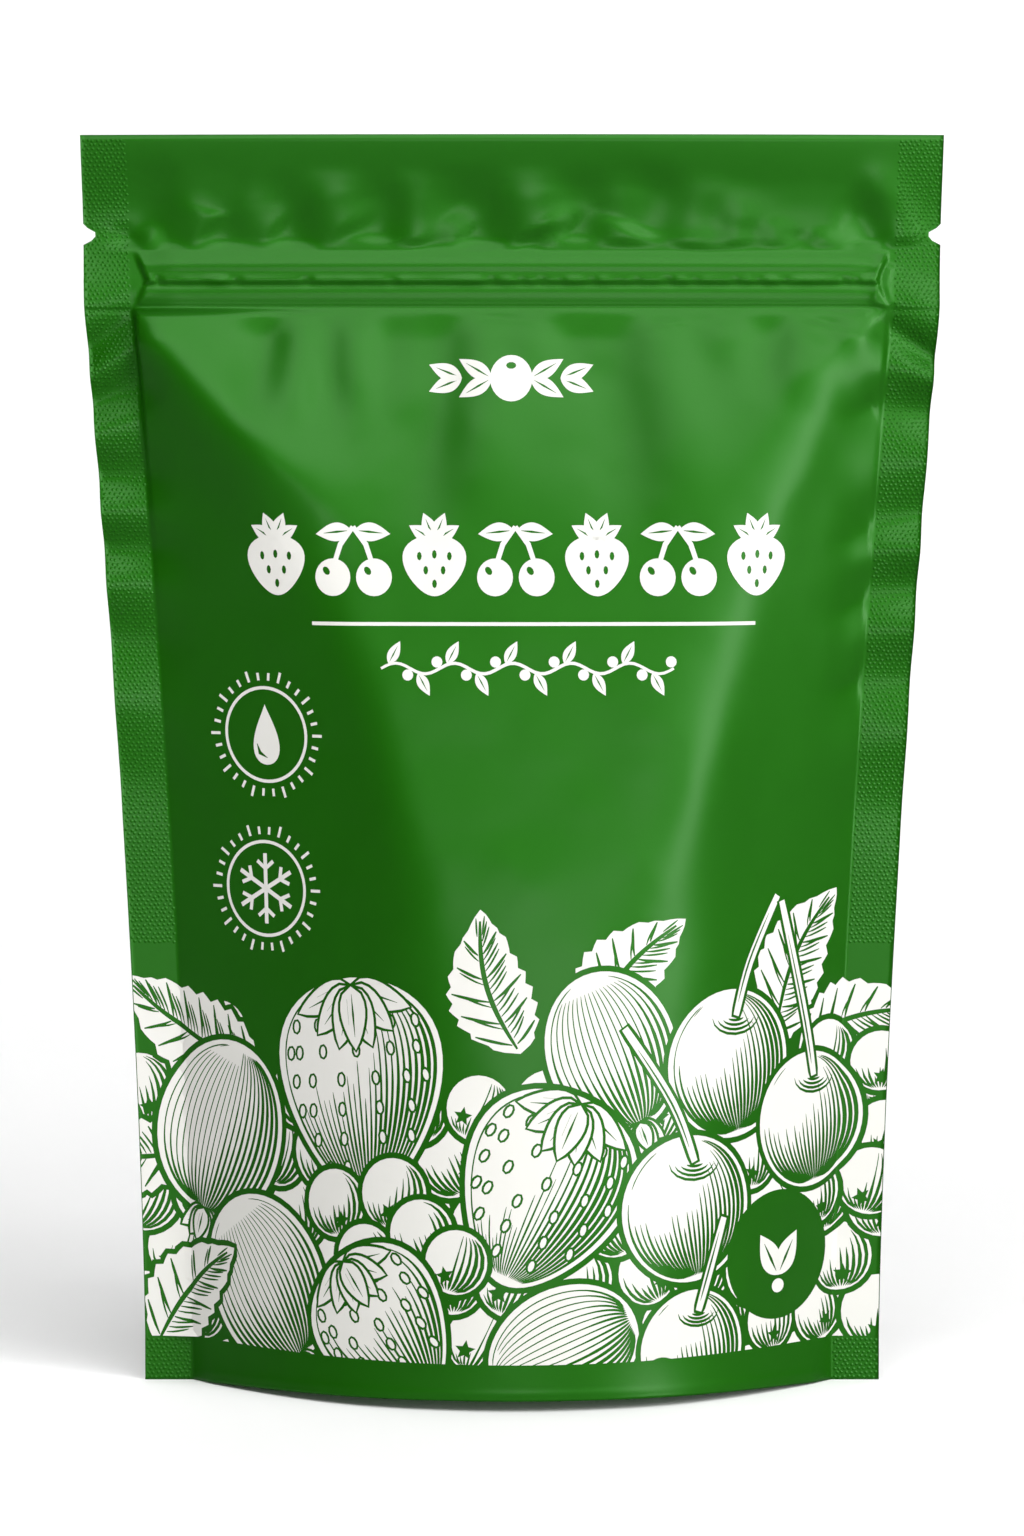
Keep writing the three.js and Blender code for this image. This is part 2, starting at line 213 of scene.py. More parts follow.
# %% [markdown]
# ## Bending the film
#
# The front of the pouch started as a flat rectangle. Filled, it bulges, and a film that
# can't stretch has to pull its sides in to do so. That one fact gives the outline: the
# pouch is narrowest where it is deepest.
#
# It could be modelled by hand from a box, or simulated as cloth. Here each height is
# solved as a bent strip of fixed length, which keeps the outline true and costs nothing.
# Two folds run down and inwards from the ends of the zip. On them the strip turns
# sharply, and beside them it stays nearly flat, as stiff film does.

# %% Driving sizes, in millimetres
RELIEF_ROOM = 0.32      # the foot's flare and weld line stay inside the CAD's depth
cad_box_low, cad_box_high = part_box("pouch")
HEIGHT = cad_box_high.z / MM
FLAT_WIDTH = (cad_box_high.x - cad_box_low.x) / MM
BASE_HALF_DEPTH = (cad_box_high.y - cad_box_low.y) / 2 / MM - RELIEF_ROOM
SIDE_SEAL = 8.2
TOP_SEAL = 5.0
HALF_WELD = 0.2
HALF_PANEL = FLAT_WIDTH / 2 - SIDE_SEAL
ZIP_TOP = 195.7
ZIP_BOTTOM = 186.0
BELLY_TOP = 186.2
print(f"pouch {FLAT_WIDTH:.1f} wide, {HEIGHT:.1f} high, {2 * BASE_HALF_DEPTH:.1f} deep")

# %% Where the two folds run: height, share of the half panel, softness, strength
LEFT_FOLD = np.array([
    (186.0, 1.00, 0.03, 1.00),
    (178.0, 0.93, 0.06, 1.00),
    (172.6, 0.86, 0.10, 0.98),
    (164.8, 0.77, 0.16, 0.96),
    (154.4, 0.62, 0.19, 0.93),
    (142.0, 0.51, 0.15, 0.90),
    (130.0, 0.43, 0.10, 0.86),
    (114.4, 0.35, 0.09, 0.80),
    (90.0, 0.25, 0.10, 0.70),
    (60.0, 0.20, 0.20, 0.40),
    (0.0, 0.20, 0.40, 0.00),
])
RIGHT_FOLD = np.array([
    (186.0, 1.00, 0.03, 1.00),
    (178.0, 0.86, 0.06, 0.99),
    (172.6, 0.75, 0.10, 0.98),
    (164.8, 0.69, 0.14, 0.97),
    (158.0, 0.62, 0.18, 0.95),
    (152.0, 0.58, 0.20, 0.94),
    (135.0, 0.50, 0.21, 0.91),
    (128.0, 0.48, 0.20, 0.89),
    (114.4, 0.44, 0.17, 0.86),
    (104.0, 0.415, 0.15, 0.80),
    (90.0, 0.33, 0.20, 0.70),
    (60.0, 0.30, 0.32, 0.35),
    (0.0, 0.30, 0.40, 0.00),
])
RIGHT_SKEW = 2.0        # the right fold turns slowly at first, and then sharply
print("folds given at", len(LEFT_FOLD), "and", len(RIGHT_FOLD), "heights")

# %% How steep the film is, from the middle of a panel to its seal
TABLE_STEP = 1.0
HALF_COLUMNS = 100
FOLD_BLEND_MM = 5.0
BLEND_ROWS = 15
table_z = np.linspace(0.0, HEIGHT, int(HEIGHT / TABLE_STEP) + 1)
table_t = np.linspace(0.0, 1.0, HALF_COLUMNS + 1)
blend_mm = np.arange(-BLEND_ROWS, BLEND_ROWS + 1) * TABLE_STEP
blend = np.exp(-0.5 * (blend_mm / FOLD_BLEND_MM) ** 2)


def smooth(start, end, value):
    """0 at start, 1 at end, with soft ends."""
    s = np.clip((value - start) / (end - start), 0.0, 1.0)
    return s * s * (3 - 2 * s)


def along_fold(fold, column):
    """One column of a fold's list at every height of the table, without corners."""
    rising = fold[::-1]
    raw = np.interp(table_z, rising[:, 0], rising[:, column])
    return np.convolve(np.pad(raw, BLEND_ROWS, mode="edge"), blend / blend.sum(), "valid")


def slope_share(t, fold, skew=1.0):
    """Share of the steepest slope at t, 0 in the middle of the panel and 1 at the seal."""
    even = np.sin(t * math.pi / 2)
    at, soft, strength = (along_fold(fold, k)[:, None] for k in (1, 2, 3))
    folded = smooth(at - soft, at + soft, t) ** skew
    return even + (folded - even) * strength


middle_t = (table_t[1:] + table_t[:-1]) / 2
left_share = slope_share(middle_t[None, :], LEFT_FOLD)
right_share = slope_share(middle_t[None, :], RIGHT_FOLD, RIGHT_SKEW)
print("slopes for", left_share.shape[0], "heights by", left_share.shape[1], "places")

# %% Solve the bend for every height at once
FOOT_SHRINK = 11.55
SHRINK_POWER = 1.5
ZIP_SHRINK = 0.8
STEEPEST = 1.45         # radians: almost straight back
ANGLE_ROUNDS = 30
DEPTH_ROUNDS = 22


def bulge_shrink(z):
    """How much each half of the pouch has narrowed because the film bulges."""
    up = np.clip(z / BELLY_TOP, 0, 1) ** SHRINK_POWER
    return (FOOT_SHRINK - ZIP_SHRINK) * (1 - up)


def bend_half(share, depth):
    """x and depth of half a strip for all heights, from the middle outwards. The search
    halves the range of slopes until the strip falls back by just that depth."""
    run = HALF_PANEL / HALF_COLUMNS
    low = np.zeros_like(table_z)
    high = np.full_like(table_z, STEEPEST)
    for _ in range(ANGLE_ROUNDS):
        middle = (low + high) / 2
        short = (run * np.sin(middle[:, None] * share)).sum(1) < depth
        low = np.where(short, middle, low)
        high = np.where(short, high, middle)
    angle = low[:, None] * share
    start = np.zeros((len(table_z), 1))
    x = np.hstack([start, np.cumsum(run * np.cos(angle), 1)])
    fallen = np.hstack([start, np.cumsum(run * np.sin(angle), 1)])
    return x, fallen[:, -1:] - fallen


# The depth at each height is searched for in the same way, until the width is right.
wanted_width = 2 * (HALF_PANEL - bulge_shrink(table_z))
shallow = np.zeros_like(table_z)
deep = np.full_like(table_z, BASE_HALF_DEPTH)
for _ in range(DEPTH_ROUNDS):
    depth_now = (shallow + deep) / 2
    left_reach = bend_half(left_share, depth_now)[0][:, -1]
    right_reach = bend_half(right_share, depth_now)[0][:, -1]
    too_wide = left_reach + right_reach > wanted_width
    shallow = np.where(too_wide, depth_now, shallow)
    deep = np.where(too_wide, deep, depth_now)
left_x, left_depth = bend_half(left_share, shallow)
right_x, right_depth = bend_half(right_share, shallow)
table_x = np.hstack([-left_x[:, :0:-1], right_x])
table_x -= (table_x[:, :1] + table_x[:, -1:]) / 2
zip_pull = ZIP_SHRINK * np.clip((HEIGHT - table_z) / (HEIGHT - BELLY_TOP), 0, 1)
table_x *= 1 - zip_pull[:, None] / HALF_PANEL
table_depth = np.hstack([left_depth[:, :0:-1], right_depth])
for height in (0, 30, 60, 90, 120, 150, 165, 175, 182):
    half_width = table_x[height, -1] + SIDE_SEAL
    print(f"at {height} mm: half width {half_width:.1f}, depth {shallow[height]:.1f}")


# %% Read the solved film at any place
def from_table(table, row, column, ease=lambda share: share):
    """Values between the entries of a table. ease shapes the way from one to the next."""
    r = np.clip(row.astype(int), 0, table.shape[0] - 2)
    c = np.clip(column.astype(int), 0, table.shape[1] - 2)
    up, across = ease(row - r), ease(column - c)
    lower = table[r, c] * (1 - across) + table[r, c + 1] * across
    upper = table[r + 1, c] * (1 - across) + table[r + 1, c + 1] * across
    return lower * (1 - up) + upper * up


def section(u, z):
    """x and depth of the bent film at flat places u and heights z."""
    inside = np.clip(u, -HALF_PANEL, HALF_PANEL)
    column = (inside / HALF_PANEL + 1) * HALF_COLUMNS
    row = np.clip(z / HEIGHT, 0, 1) * (len(table_z) - 1)
    x = from_table(table_x, row, column)
    return x + (u - inside), from_table(table_depth, row, column)


deepest = section(np.zeros(1), np.zeros(1))[1][0]
print(f"the film stands {deepest:.1f} mm in front of the middle at the foot")

# %% [markdown]
# ## Creases
#
# A crease in film has a sharp crest and flanks that die away, often steeper on one side.
# One function makes them all: it measures how far each point lies from a path drawn on
# the front, and lifts or sinks the film there. A lift is a ridge and a sink is a valley.
# They could be sculpted instead, but then nobody could say where each one runs. The paths
# were read off the front of the pouch, in millimetres from its middle and up from its
# foot.

# %% Measure from a path
PATH_STEPS = 6


def rounded_path(points):
    """A curve through the points, with a few steps between each two."""
    p = np.array([points[0], *points, points[-1]], float)
    made = []
    for a, b, c, d in zip(p, p[1:], p[2:], p[3:]):
        for k in range(PATH_STEPS):
            s = k / PATH_STEPS
            made.append(0.5 * (2 * b + (c - a) * s + (2 * a - 5 * b + 4 * c - d) * s * s
                               + (3 * b - a - 3 * c + d) * s ** 3))
    return np.array([*made, points[-1]])


def beside_path(x, z, points, reach):
    """Finds the points near a path. Gives which they are, how far off they lie (less than
    0 on the left of a path that runs down), and their share of the way along it."""
    path = rounded_path(points)
    near = ((x > path[:, 0].min() - reach) & (x < path[:, 0].max() + reach)
            & (z > path[:, 1].min() - reach) & (z < path[:, 1].max() + reach))
    px, pz = x[near], z[near]
    lengths = np.hypot(*(path[1:] - path[:-1]).T)
    best = np.full(px.shape, np.inf)
    side = np.zeros_like(px)
    along = np.zeros_like(px)
    for i, length in enumerate(lengths):
        ax, az = path[i]
        dx, dz = (path[i + 1] - path[i]) / length
        run = np.clip((px - ax) * dx + (pz - az) * dz, 0, length)
        off = np.hypot(px - ax - run * dx, pz - az - run * dz)
        closer = off < best
        best = np.where(closer, off, best)
        side = np.where(closer, dx * (pz - az) - dz * (px - ax), side)
        along = np.where(closer, (lengths[:i].sum() + run) / lengths.sum(), along)
    return near, np.where(side < 0, -best, best), along


test_off = beside_path(np.array([3.0]), np.array([5.0]), [(0, 10), (0, 0)], 5.0)[1]
print("a place 3 mm to the right of a path that runs down lies", round(test_off[0], 2), "off it")

# %% One crease, or one pucker, along a path
CREASE_REACH = 5.0      # in flank widths, past which a crease is too low to matter
PUCKER_REACH = 2.5      # in widths of the pucker


def ends_fade(along, fades):
    """1 along a path, and 0 at its ends, with fades as the shares that they take."""
    return smooth(0, fades[0], along) * (1 - smooth(1 - fades[1], 1, along))


def crease(x, z, points, rise, left, right, rounding=0.5, fades=(0.2, 0.35)):
    """A ridge along a path, or a valley where rise is less than 0. left and right are
    the widths of its flanks."""
    height = np.zeros_like(x)
    near, off, along = beside_path(x, z, points, CREASE_REACH * max(left, right))
    flank = np.where(off < 0, left, right)
    fall = np.exp(-(np.sqrt(off ** 2 + rounding ** 2) - rounding) / flank)
    height[near] = rise * fall * ends_fade(along, fades)
    return height


def pucker(x, z, points, rise, width, fades):
    """Over its width the film comes forward to the right by rise, and on both sides it
    goes softly back."""
    height = np.zeros_like(x)
    near, off, along = beside_path(x, z, points, PUCKER_REACH * width)
    share = off / (width / 2)
    height[near] = 0.5 * rise * share * np.exp((1 - share ** 2) / 2) * ends_fade(along, fades)
    return height


def inside_panel(u, start, end):
    """1 on the panel and 0 at its side seals, from start to end mm inside the weld."""
    return smooth(HALF_PANEL - start, HALF_PANEL - end, np.abs(u))


test_z = np.full(3, 5.0)
test_crease = crease(np.array([-4.0, 0.0, 4.0]), test_z, [(0, 10), (0, 0)], 1.0, 2.0, 2.0)
print("a crease 1 mm high, at -4, 0 and 4 mm from its crest:", test_crease.round(2))

# %% [markdown]
# ## The zip
#
# The press-to-close zip is welded to the inside of the film, which shows it as two flat
# bands with a bead between them. It could be a strip of its own, but all that can be seen
# of it is the film that lies over it. So it is a profile that raises the film, and the
# bead has dents where its teeth didn't close evenly.

# %% The zip's profile, from its lower to its upper edge, and the ledge under it
ZIP_PROFILE = np.array([
    (186.0, 0.00), (186.2, 0.03), (186.6, 0.28), (187.1, 0.47), (187.8, 0.58), (188.7, 0.62),
    (189.3, 0.56), (189.7, 0.45),
    (189.95, 0.46), (190.6, 1.04), (190.9, 1.10), (191.6, 0.93), (192.2, 0.84), (193.1, 0.92),
    (193.7, 0.86), (194.7, 0.54), (195.6, 0.16), (196.1, 0.00),
])
PROFILE_STEP = 0.05
PROFILE_BLUR = 11
ZIP_END_CUT = 2.0
ZIP_END_GAP = 0.3
ZIP_END_SLOPE = 1.0
LEDGE_RISE = 0.55
LEDGE_REACH = 4.0
LEDGE_FADE = (HEIGHT - TOP_SEAL, ZIP_TOP - 4)   # none at the first height, all at the second
profile_z = np.arange(ZIP_PROFILE[0, 0] - 1, ZIP_PROFILE[-1, 0] + 1, PROFILE_STEP)
soften = np.hanning(PROFILE_BLUR)
sharp_profile = np.interp(profile_z, *ZIP_PROFILE.T)
profile_height = np.convolve(sharp_profile, soften / soften.sum(), "same")


def zip_relief(u, z):
    """How far the zip stands out. Its bands end in a notch at each side seal."""
    middle = (ZIP_TOP + ZIP_BOTTOM) / 2
    off_middle = np.clip(np.abs(z - middle) / ((ZIP_TOP - ZIP_BOTTOM) / 2), 0, 1)
    end = HALF_PANEL - ZIP_END_GAP - ZIP_END_CUT * (1 - off_middle)
    return smooth(end, end - ZIP_END_SLOPE, np.abs(u)) * np.interp(z, profile_z, profile_height)


def zip_ledge(u, z):
    """Right under the zip the stiff film stands off before it falls away."""
    below = np.exp(-np.maximum(0, ZIP_BOTTOM - z) / LEDGE_REACH)
    return LEDGE_RISE * inside_panel(u, 1, 8) * below * smooth(*LEDGE_FADE, z)


print(f"the zip stands out by up to {profile_height.max():.2f} mm")

# %% Dents in the bead
BEAD_Z = 190.7
BEAD_HALF = 0.7
BEAD_NICKS = [-62, -48.5, -36, -21, -3.5, 1.4, 5.2, 8.2, 13.9, 21.7, 27.4, 31.8, 39.1, 43.1,
              47.7, 58.3, 60.2]
NICK_HALF = 0.7
NICK_DEPTH = 0.5
BEAD_CELL = 2.6
BEAD_UNEVEN = 0.09
BEAD_SEED = 3
bead_places = np.arange(-FLAT_WIDTH / 2, FLAT_WIDTH / 2, BEAD_CELL)
bead_heights = np.random.default_rng(BEAD_SEED).normal(size=len(bead_places))


def bead_nicks(u, z):
    """Small sunk places along the zip's bead."""
    on_bead = np.exp(-((z - BEAD_Z) / BEAD_HALF) ** 2)
    dents = sum(np.exp(-((u - at) / NICK_HALF) ** 2) for at in BEAD_NICKS)
    uneven = np.interp(u, bead_places, bead_heights)
    return on_bead * (BEAD_UNEVEN * uneven - NICK_DEPTH * dents)


print(len(BEAD_NICKS), "dents in the bead")

# %% [markdown]
# ## Folds, puckers and waves
#
# The zip and the seals are stiff and straight, and the panel between them bulges, so the
# film next to them has too much length and gathers. A cloth simulation would gather it
# too, but in other places on each run. Here each fold is placed one by one, with the same
# few shapes.

# %% Creases of the front
FRONT_CREASES = [
    # the crest of the left fold
    dict(points=[(-67.0, 187.0), (-64.0, 184.0), (-57.7, 177.0), (-50.4, 169.0),
                 (-43.4, 162.0), (-31.4, 152.0), (-23.5, 140.0)],
         rise=3.0, left=8, right=8, rounding=4.5, fades=(0.04, 0.5)),
    # the bright ridge from the zip's right end
    dict(points=[(66.0, 184.6), (58.0, 174.0), (54.6, 169.0), (51.0, 159.0), (46.8, 152.6),
                 (43.0, 142.0), (40.5, 131.0)],
         rise=0.7, left=8, right=5.0, rounding=1.5, fades=(0.1, 0.5)),
]
# Short puckers where the right panel meets its seal: height, length
SEAL_PUCKERS = [(168.5, 7.0), (146.5, 9.0), (134.5, 9.0), (121.0, 10.0)]
SEAL_PUCKER_INNER = (-4.4, -2.5)    # ends of one, from the weld and from its height
SEAL_PUCKER_OUTER = (-3.2, 1.0)
SEAL_PUCKER_SHAPE = dict(rise=-0.5, left=1.8, right=1.2, fades=(0.7, 0.15))
# Loops that the zip's right end presses into the film
ZIP_END_LOOPS = [
    [(65.1, 195.2), (63.4, 192.6), (63.2, 189.4), (63.2, 187.0), (66.3, 185.8)],
    [(66.0, 193.9), (65.1, 191.2), (65.3, 188.4), (66.3, 186.0)],
]
LOOP_SHAPE = dict(rise=0.35, left=0.7, right=0.7, rounding=0.3, fades=(0.15, 0.15))
CREASE_FADE = (ZIP_BOTTOM + 0.2, ZIP_BOTTOM - 1.4)


def front_creases(x, z):
    """All the creases of the panel below the zip."""
    height = sum(crease(x, z, **one) for one in FRONT_CREASES)
    for at, length in SEAL_PUCKERS:
        inner = (HALF_PANEL + SEAL_PUCKER_INNER[0] - length, at + SEAL_PUCKER_INNER[1])
        outer = (HALF_PANEL + SEAL_PUCKER_OUTER[0], at + SEAL_PUCKER_OUTER[1])
        height += crease(x, z, [inner, outer], **SEAL_PUCKER_SHAPE)
    return height * smooth(*CREASE_FADE, z)


print(len(FRONT_CREASES), "long creases,", len(SEAL_PUCKERS), "at the seal")

# %% Puckers of the header: path, how far the film comes forward, and over what width
HEADER_PUCKERS = [
    ([(-65.4, 201.3), (-65.6, 195.8)], 0.60, 2.2),
    ([(-61.8, 200.1), (-64.7, 195.8)], 0.30, 1.5),
    ([(-54.7, 209.3), (-58.2, 204.4), (-57.8, 200.1), (-54.7, 196.3)], 0.75, 5.0),
    ([(-51.8, 203.9), (-47.4, 200.6), (-42.6, 196.3)], 0.75, 5.0),
    ([(-36.7, 211.3), (-36.0, 203.5), (-32.2, 196.1)], 0.85, 5.0),
    ([(-18.7, 211.0), (-19.4, 203.5), (-19.9, 196.3)], 0.60, 4.0),
    ([(-14.2, 200.6), (-10.4, 196.3)], 0.50, 3.5),
    ([(-2.6, 211.6), (-2.1, 203.5), (0.7, 196.1)], 1.05, 6.0),
    ([(2.8, 200.1), (6.2, 196.3)], 0.50, 3.5),
    ([(15.8, 211.6), (15.6, 203.5), (15.2, 196.3)], 0.65, 4.5),
    ([(31.5, 211.3), (29.1, 203.5), (26.3, 196.3)], 0.80, 6.5),
    ([(37.2, 207.0), (37.6, 196.1)], 0.35, 3.0),
    ([(43.1, 202.3), (43.8, 196.1)], 0.30, 2.5),
    ([(51.8, 200.3), (52.1, 196.1)], 0.30, 2.5),
    ([(57.1, 207.9), (61.6, 205.1), (64.0, 201.0), (65.1, 195.8)], 0.90, 3.6),
]
PUCKER_RISE = 2.0
PUCKER_WIDEN = 1.8
PUCKER_FADES = (0.5, 0.15)
HEADER_LOW_FADE = (ZIP_TOP - 0.2, ZIP_TOP + 2.2)
HEADER_HIGH_FADE = (HEIGHT - 1, HEIGHT - 7)
HEADER_SWELL = 0.22
SWELL_ROUND = 0.5


def header_waves(x, z):
    """The header's puckers. Its two films are so close that they move together."""
    height = sum(pucker(x, z, path, PUCKER_RISE * rise, PUCKER_WIDEN * width, PUCKER_FADES)
                 for path, rise, width in HEADER_PUCKERS)
    return height * smooth(*HEADER_LOW_FADE, z) * smooth(*HEADER_HIGH_FADE, z)


def header_swell(u, z):
    """The header between the zip and the top seal stands off a little."""
    up = np.clip((z - ZIP_TOP) / (HEIGHT - TOP_SEAL - ZIP_TOP), 0, 1)
    rounded = 1 - np.clip(1 - up / SWELL_ROUND, 0, 1) ** 2
    return HEADER_SWELL * inside_panel(u, -0.5, 5) * rounded * (1 - smooth(0.3, 1.0, up))


print(len(HEADER_PUCKERS), "puckers in the header")

# %% Flutes that hang from the zip's lower edge, in the same terms
ZIP_FLUTES = [
    ([(-38.9, 185.4), (-39.4, 178.1), (-41.7, 168.9), (-43.0, 163.0)], 1.05, 6.0),
    ([(-29.4, 185.4), (-29.6, 177.7), (-28.6, 168.9), (-28.0, 161.0)], 0.85, 5.0),
    ([(-18.8, 185.4), (-19.3, 177.7), (-20.1, 168.9), (-20.8, 160.0)], 0.45, 5.0),
    ([(-8.4, 184.8), (-9.0, 177.7), (-9.8, 164.3), (-11.2, 141.4)], 0.95, 7.5),
    ([(1.2, 184.8), (1.4, 173.0)], 0.40, 5.0),
    ([(12.2, 184.8), (11.7, 173.0)], 0.35, 5.0),
    ([(22.2, 184.8), (22.0, 177.7), (23.8, 164.3), (24.6, 140.5)], 0.95, 8.5),
    ([(34.3, 184.8), (36.2, 177.7), (40.6, 167.6)], 0.65, 6.0),
    ([(48.4, 184.8), (46.5, 177.7), (44.4, 168.3)], 0.90, 6.0),
    ([(57.0, 184.8), (56.1, 177.8)], 0.45, 4.0),
]
FLUTE_RISE = 1.9
FLUTE_WIDEN = 1.45
FLUTE_FADES = (0.02, 0.55)
FLUTE_TOP_FADE = (ZIP_BOTTOM + 0.2, ZIP_BOTTOM - 6.0)
FLUTE_FREE_DEPTH = 4.0  # from this depth on, each film has its own flutes


def zip_flutes(x, z):
    """The flutes below the zip, where the gathered film spreads out."""
    height = sum(pucker(x, z, path, FLUTE_RISE * rise, FLUTE_WIDEN * width, FLUTE_FADES)
                 for path, rise, width in ZIP_FLUTES)
    return height * smooth(*FLUTE_TOP_FADE, z)


print(len(ZIP_FLUTES), "flutes below the zip")

# %% Waves of the side seals: inner height, outer height, rise, half width
LEFT_WAVES = [
    (187.0, 187.0, 1.1, 8.0),
    (184.5, 178.5, -0.9, 3.2), (179.0, 174.0, 0.9, 3.2), (172.5, 169.5, -0.9, 3.4),
    (166.0, 164.5, 0.8, 4.4), (157.5, 157.0, -0.8, 3.6), (150.5, 150.5, 0.8, 3.6),
    (144.5, 144.5, -0.8, 3.6), (138.0, 138.0, 0.7, 4.0), (128.5, 129.0, -0.6, 4.4),
    (117.0, 117.5, 0.5, 5.0), (104.0, 104.0, -0.4, 5.5),
]
RIGHT_WAVES = [
    (188.0, 184.0, 1.0, 5.0),
    (182.4, 177.0, -1.0, 2.4), (175.5, 174.0, 1.0, 3.2), (168.5, 168.0, -1.0, 3.4),
    (158.0, 159.0, 0.6, 4.4), (149.5, 150.5, -0.7, 3.6), (143.5, 144.0, 0.9, 3.4),
    (137.0, 137.5, -0.7, 3.4), (129.5, 130.0, 0.7, 3.6), (121.5, 121.5, -0.6, 4.0),
    (111.0, 111.5, 0.5, 5.0), (99.0, 99.0, -0.4, 5.5),
]
WAVE_REACH = 5.0
WAVE_RISE = 1.8
WAVE_AT_WELD = 0.45     # a wave's height at the weld, as a share of that at the edge


def seal_wave(u, z):
    """Both films of a side seal buckle together, because the weld is longer than the
    bulging panel lets it be. The waves die out a little way into the panel."""
    inward = np.maximum(0, HALF_PANEL - np.abs(u))
    outward = np.clip((np.abs(u) - HALF_PANEL) / SIDE_SEAL, 0, 1)
    reach = np.exp(-((inward / WAVE_REACH) ** 2)) * (WAVE_AT_WELD + (1 - WAVE_AT_WELD) * outward)
    shift = np.zeros_like(u)
    for waves, side in ((LEFT_WAVES, u < 0), (RIGHT_WAVES, u >= 0)):
        for inner, outer, rise, half in waves:
            at = inner + (outer - inner) * outward
            shift += side * rise * np.exp(-((z - at) / half) ** 2)
    return -WAVE_RISE * shift * reach


print(len(LEFT_WAVES), "waves on the left,", len(RIGHT_WAVES), "on the right")

# %% The fold mark across the side seals
SEAL_CREASE_Z = 185.5
SEAL_CREASE_RISE = 0.22
SEAL_CREASE_HALF = 0.45


def seal_crease(u, z):
    """A fold mark across both side seals, level with the zip's lower edge."""
    on_seal = smooth(HALF_PANEL - 0.2, HALF_PANEL + 0.4, np.abs(u))
    off = (z - SEAL_CREASE_Z) / SEAL_CREASE_HALF
    return SEAL_CREASE_RISE * on_seal * np.exp(-off * off)


print("the seals are marked at", SEAL_CREASE_Z, "mm")

# %% Marks of the foot's weld: an arc in each corner, a line along the edge, and a flare
CORNER_ARC = [(66.9, 6.2), (70.0, 4.2), (74.3, 0.7)]
ARC_SHAPE = dict(rise=-0.14, left=0.5, right=0.5, rounding=0.2, fades=(0.1, 0.1))
WELD_LINE_Z = 1.7
WELD_LINE_RISE = 0.09
WELD_LINE_HALF = 0.5
FLARE_RISE = 0.9
FLARE_TOP = 9.5
FLARE_STARTS = 0.12     # as shares of the half panel
FLARE_FULL = 0.5


def foot_marks(u, z):
    """The prints of the jaws that weld the foot to the front and the back, and the way
    the film turns out again beside the middle, where it nears the ground."""
    arcs = crease(np.abs(u), z, CORNER_ARC, **ARC_SHAPE)
    on_panel = inside_panel(u, 0, 6)
    weld = WELD_LINE_RISE * on_panel * np.exp(-((z - WELD_LINE_Z) / WELD_LINE_HALF) ** 2)
    beside_middle = smooth(FLARE_STARTS, FLARE_FULL, np.abs(u) / HALF_PANEL) * on_panel
    flare = FLARE_RISE * beside_middle * np.clip(1 - z / FLARE_TOP, 0, 1) ** 1.5
    return arcs + weld + flare


print("the foot flares by up to", FLARE_RISE, "mm")

# %% Small uneven places, as on any filled pouch
MOTTLE_SEED = 5
MOTTLES = [(11.0, 0.10), (4.6, 0.028)]      # the size of a place, and its rise
BELOW_ZIP_FADE = (ZIP_BOTTOM - 0.5, ZIP_BOTTOM - 6)
ABOVE_ZIP_FADE = (ZIP_TOP + 0.5, ZIP_TOP + 5)
MOTTLE_FOOT_FADE = (0.5, 12)
MOTTLE_TOP_FADE = (HEIGHT - TOP_SEAL, HEIGHT - 9)
mottle_draw = np.random.default_rng(MOTTLE_SEED)
mottle_tables = [mottle_draw.normal(size=(int(HEIGHT / cell) + 3, int(FLAT_WIDTH / cell) + 3))
                 for cell, _ in MOTTLES]


def mottle(u, z):
    """Soft random relief of the panels. It dies out at the seals, the zip and the foot."""
    height = np.zeros_like(u)
    for (cell, rise), table in zip(MOTTLES, mottle_tables):
        column = (u + FLAT_WIDTH / 2) / cell
        height += rise * from_table(table, z / cell, column, lambda share: smooth(0, 1, share))
    off_zip = smooth(*BELOW_ZIP_FADE, z) + smooth(*ABOVE_ZIP_FADE, z)
    inside = inside_panel(u, 0, 8) * smooth(*MOTTLE_FOOT_FADE, z)
    return height * inside * np.clip(off_zip, 0, 1) * smooth(*MOTTLE_TOP_FADE, z)


print("mottle tables:", [table.shape for table in mottle_tables])

# %% All the bends together
TOP_BOW = 4.0
BOW_START = 120.0
ZIP_LEAN = 2.4
LEAN_BACK = (ZIP_BOTTOM - 8, ZIP_TOP + 9)       # between these heights it leans back
LEAN_FORWARD = (ZIP_TOP + 3, HEIGHT + 1)        # and between these it comes forward
FOOT_LIFT = 1.9
FOOT_LIFT_REACH = 14.0


def bow(x, z):
    """The zip leans back, the header comes forward again, and its middle most of all."""
    up = np.clip((z - BOW_START) / (HEIGHT - BOW_START), 0, 1)
    lean = smooth(*LEAN_BACK, z) - smooth(*LEAN_FORWARD, z)
    return ZIP_LEAN * lean - TOP_BOW * up * up * (1 - (x / (FLAT_WIDTH / 2)) ** 2)


def lifted(u, z, facing):
    """The heights z, with the front rim of the foot a little off the ground between its
    corners."""
    t = np.clip(np.abs(u) / HALF_PANEL, 0, 1)
    near_foot = np.clip(1 - z / FOOT_LIFT_REACH, 0, 1) ** 2
    return z + (facing < 0) * FOOT_LIFT * (1 - t ** 2) * near_foot


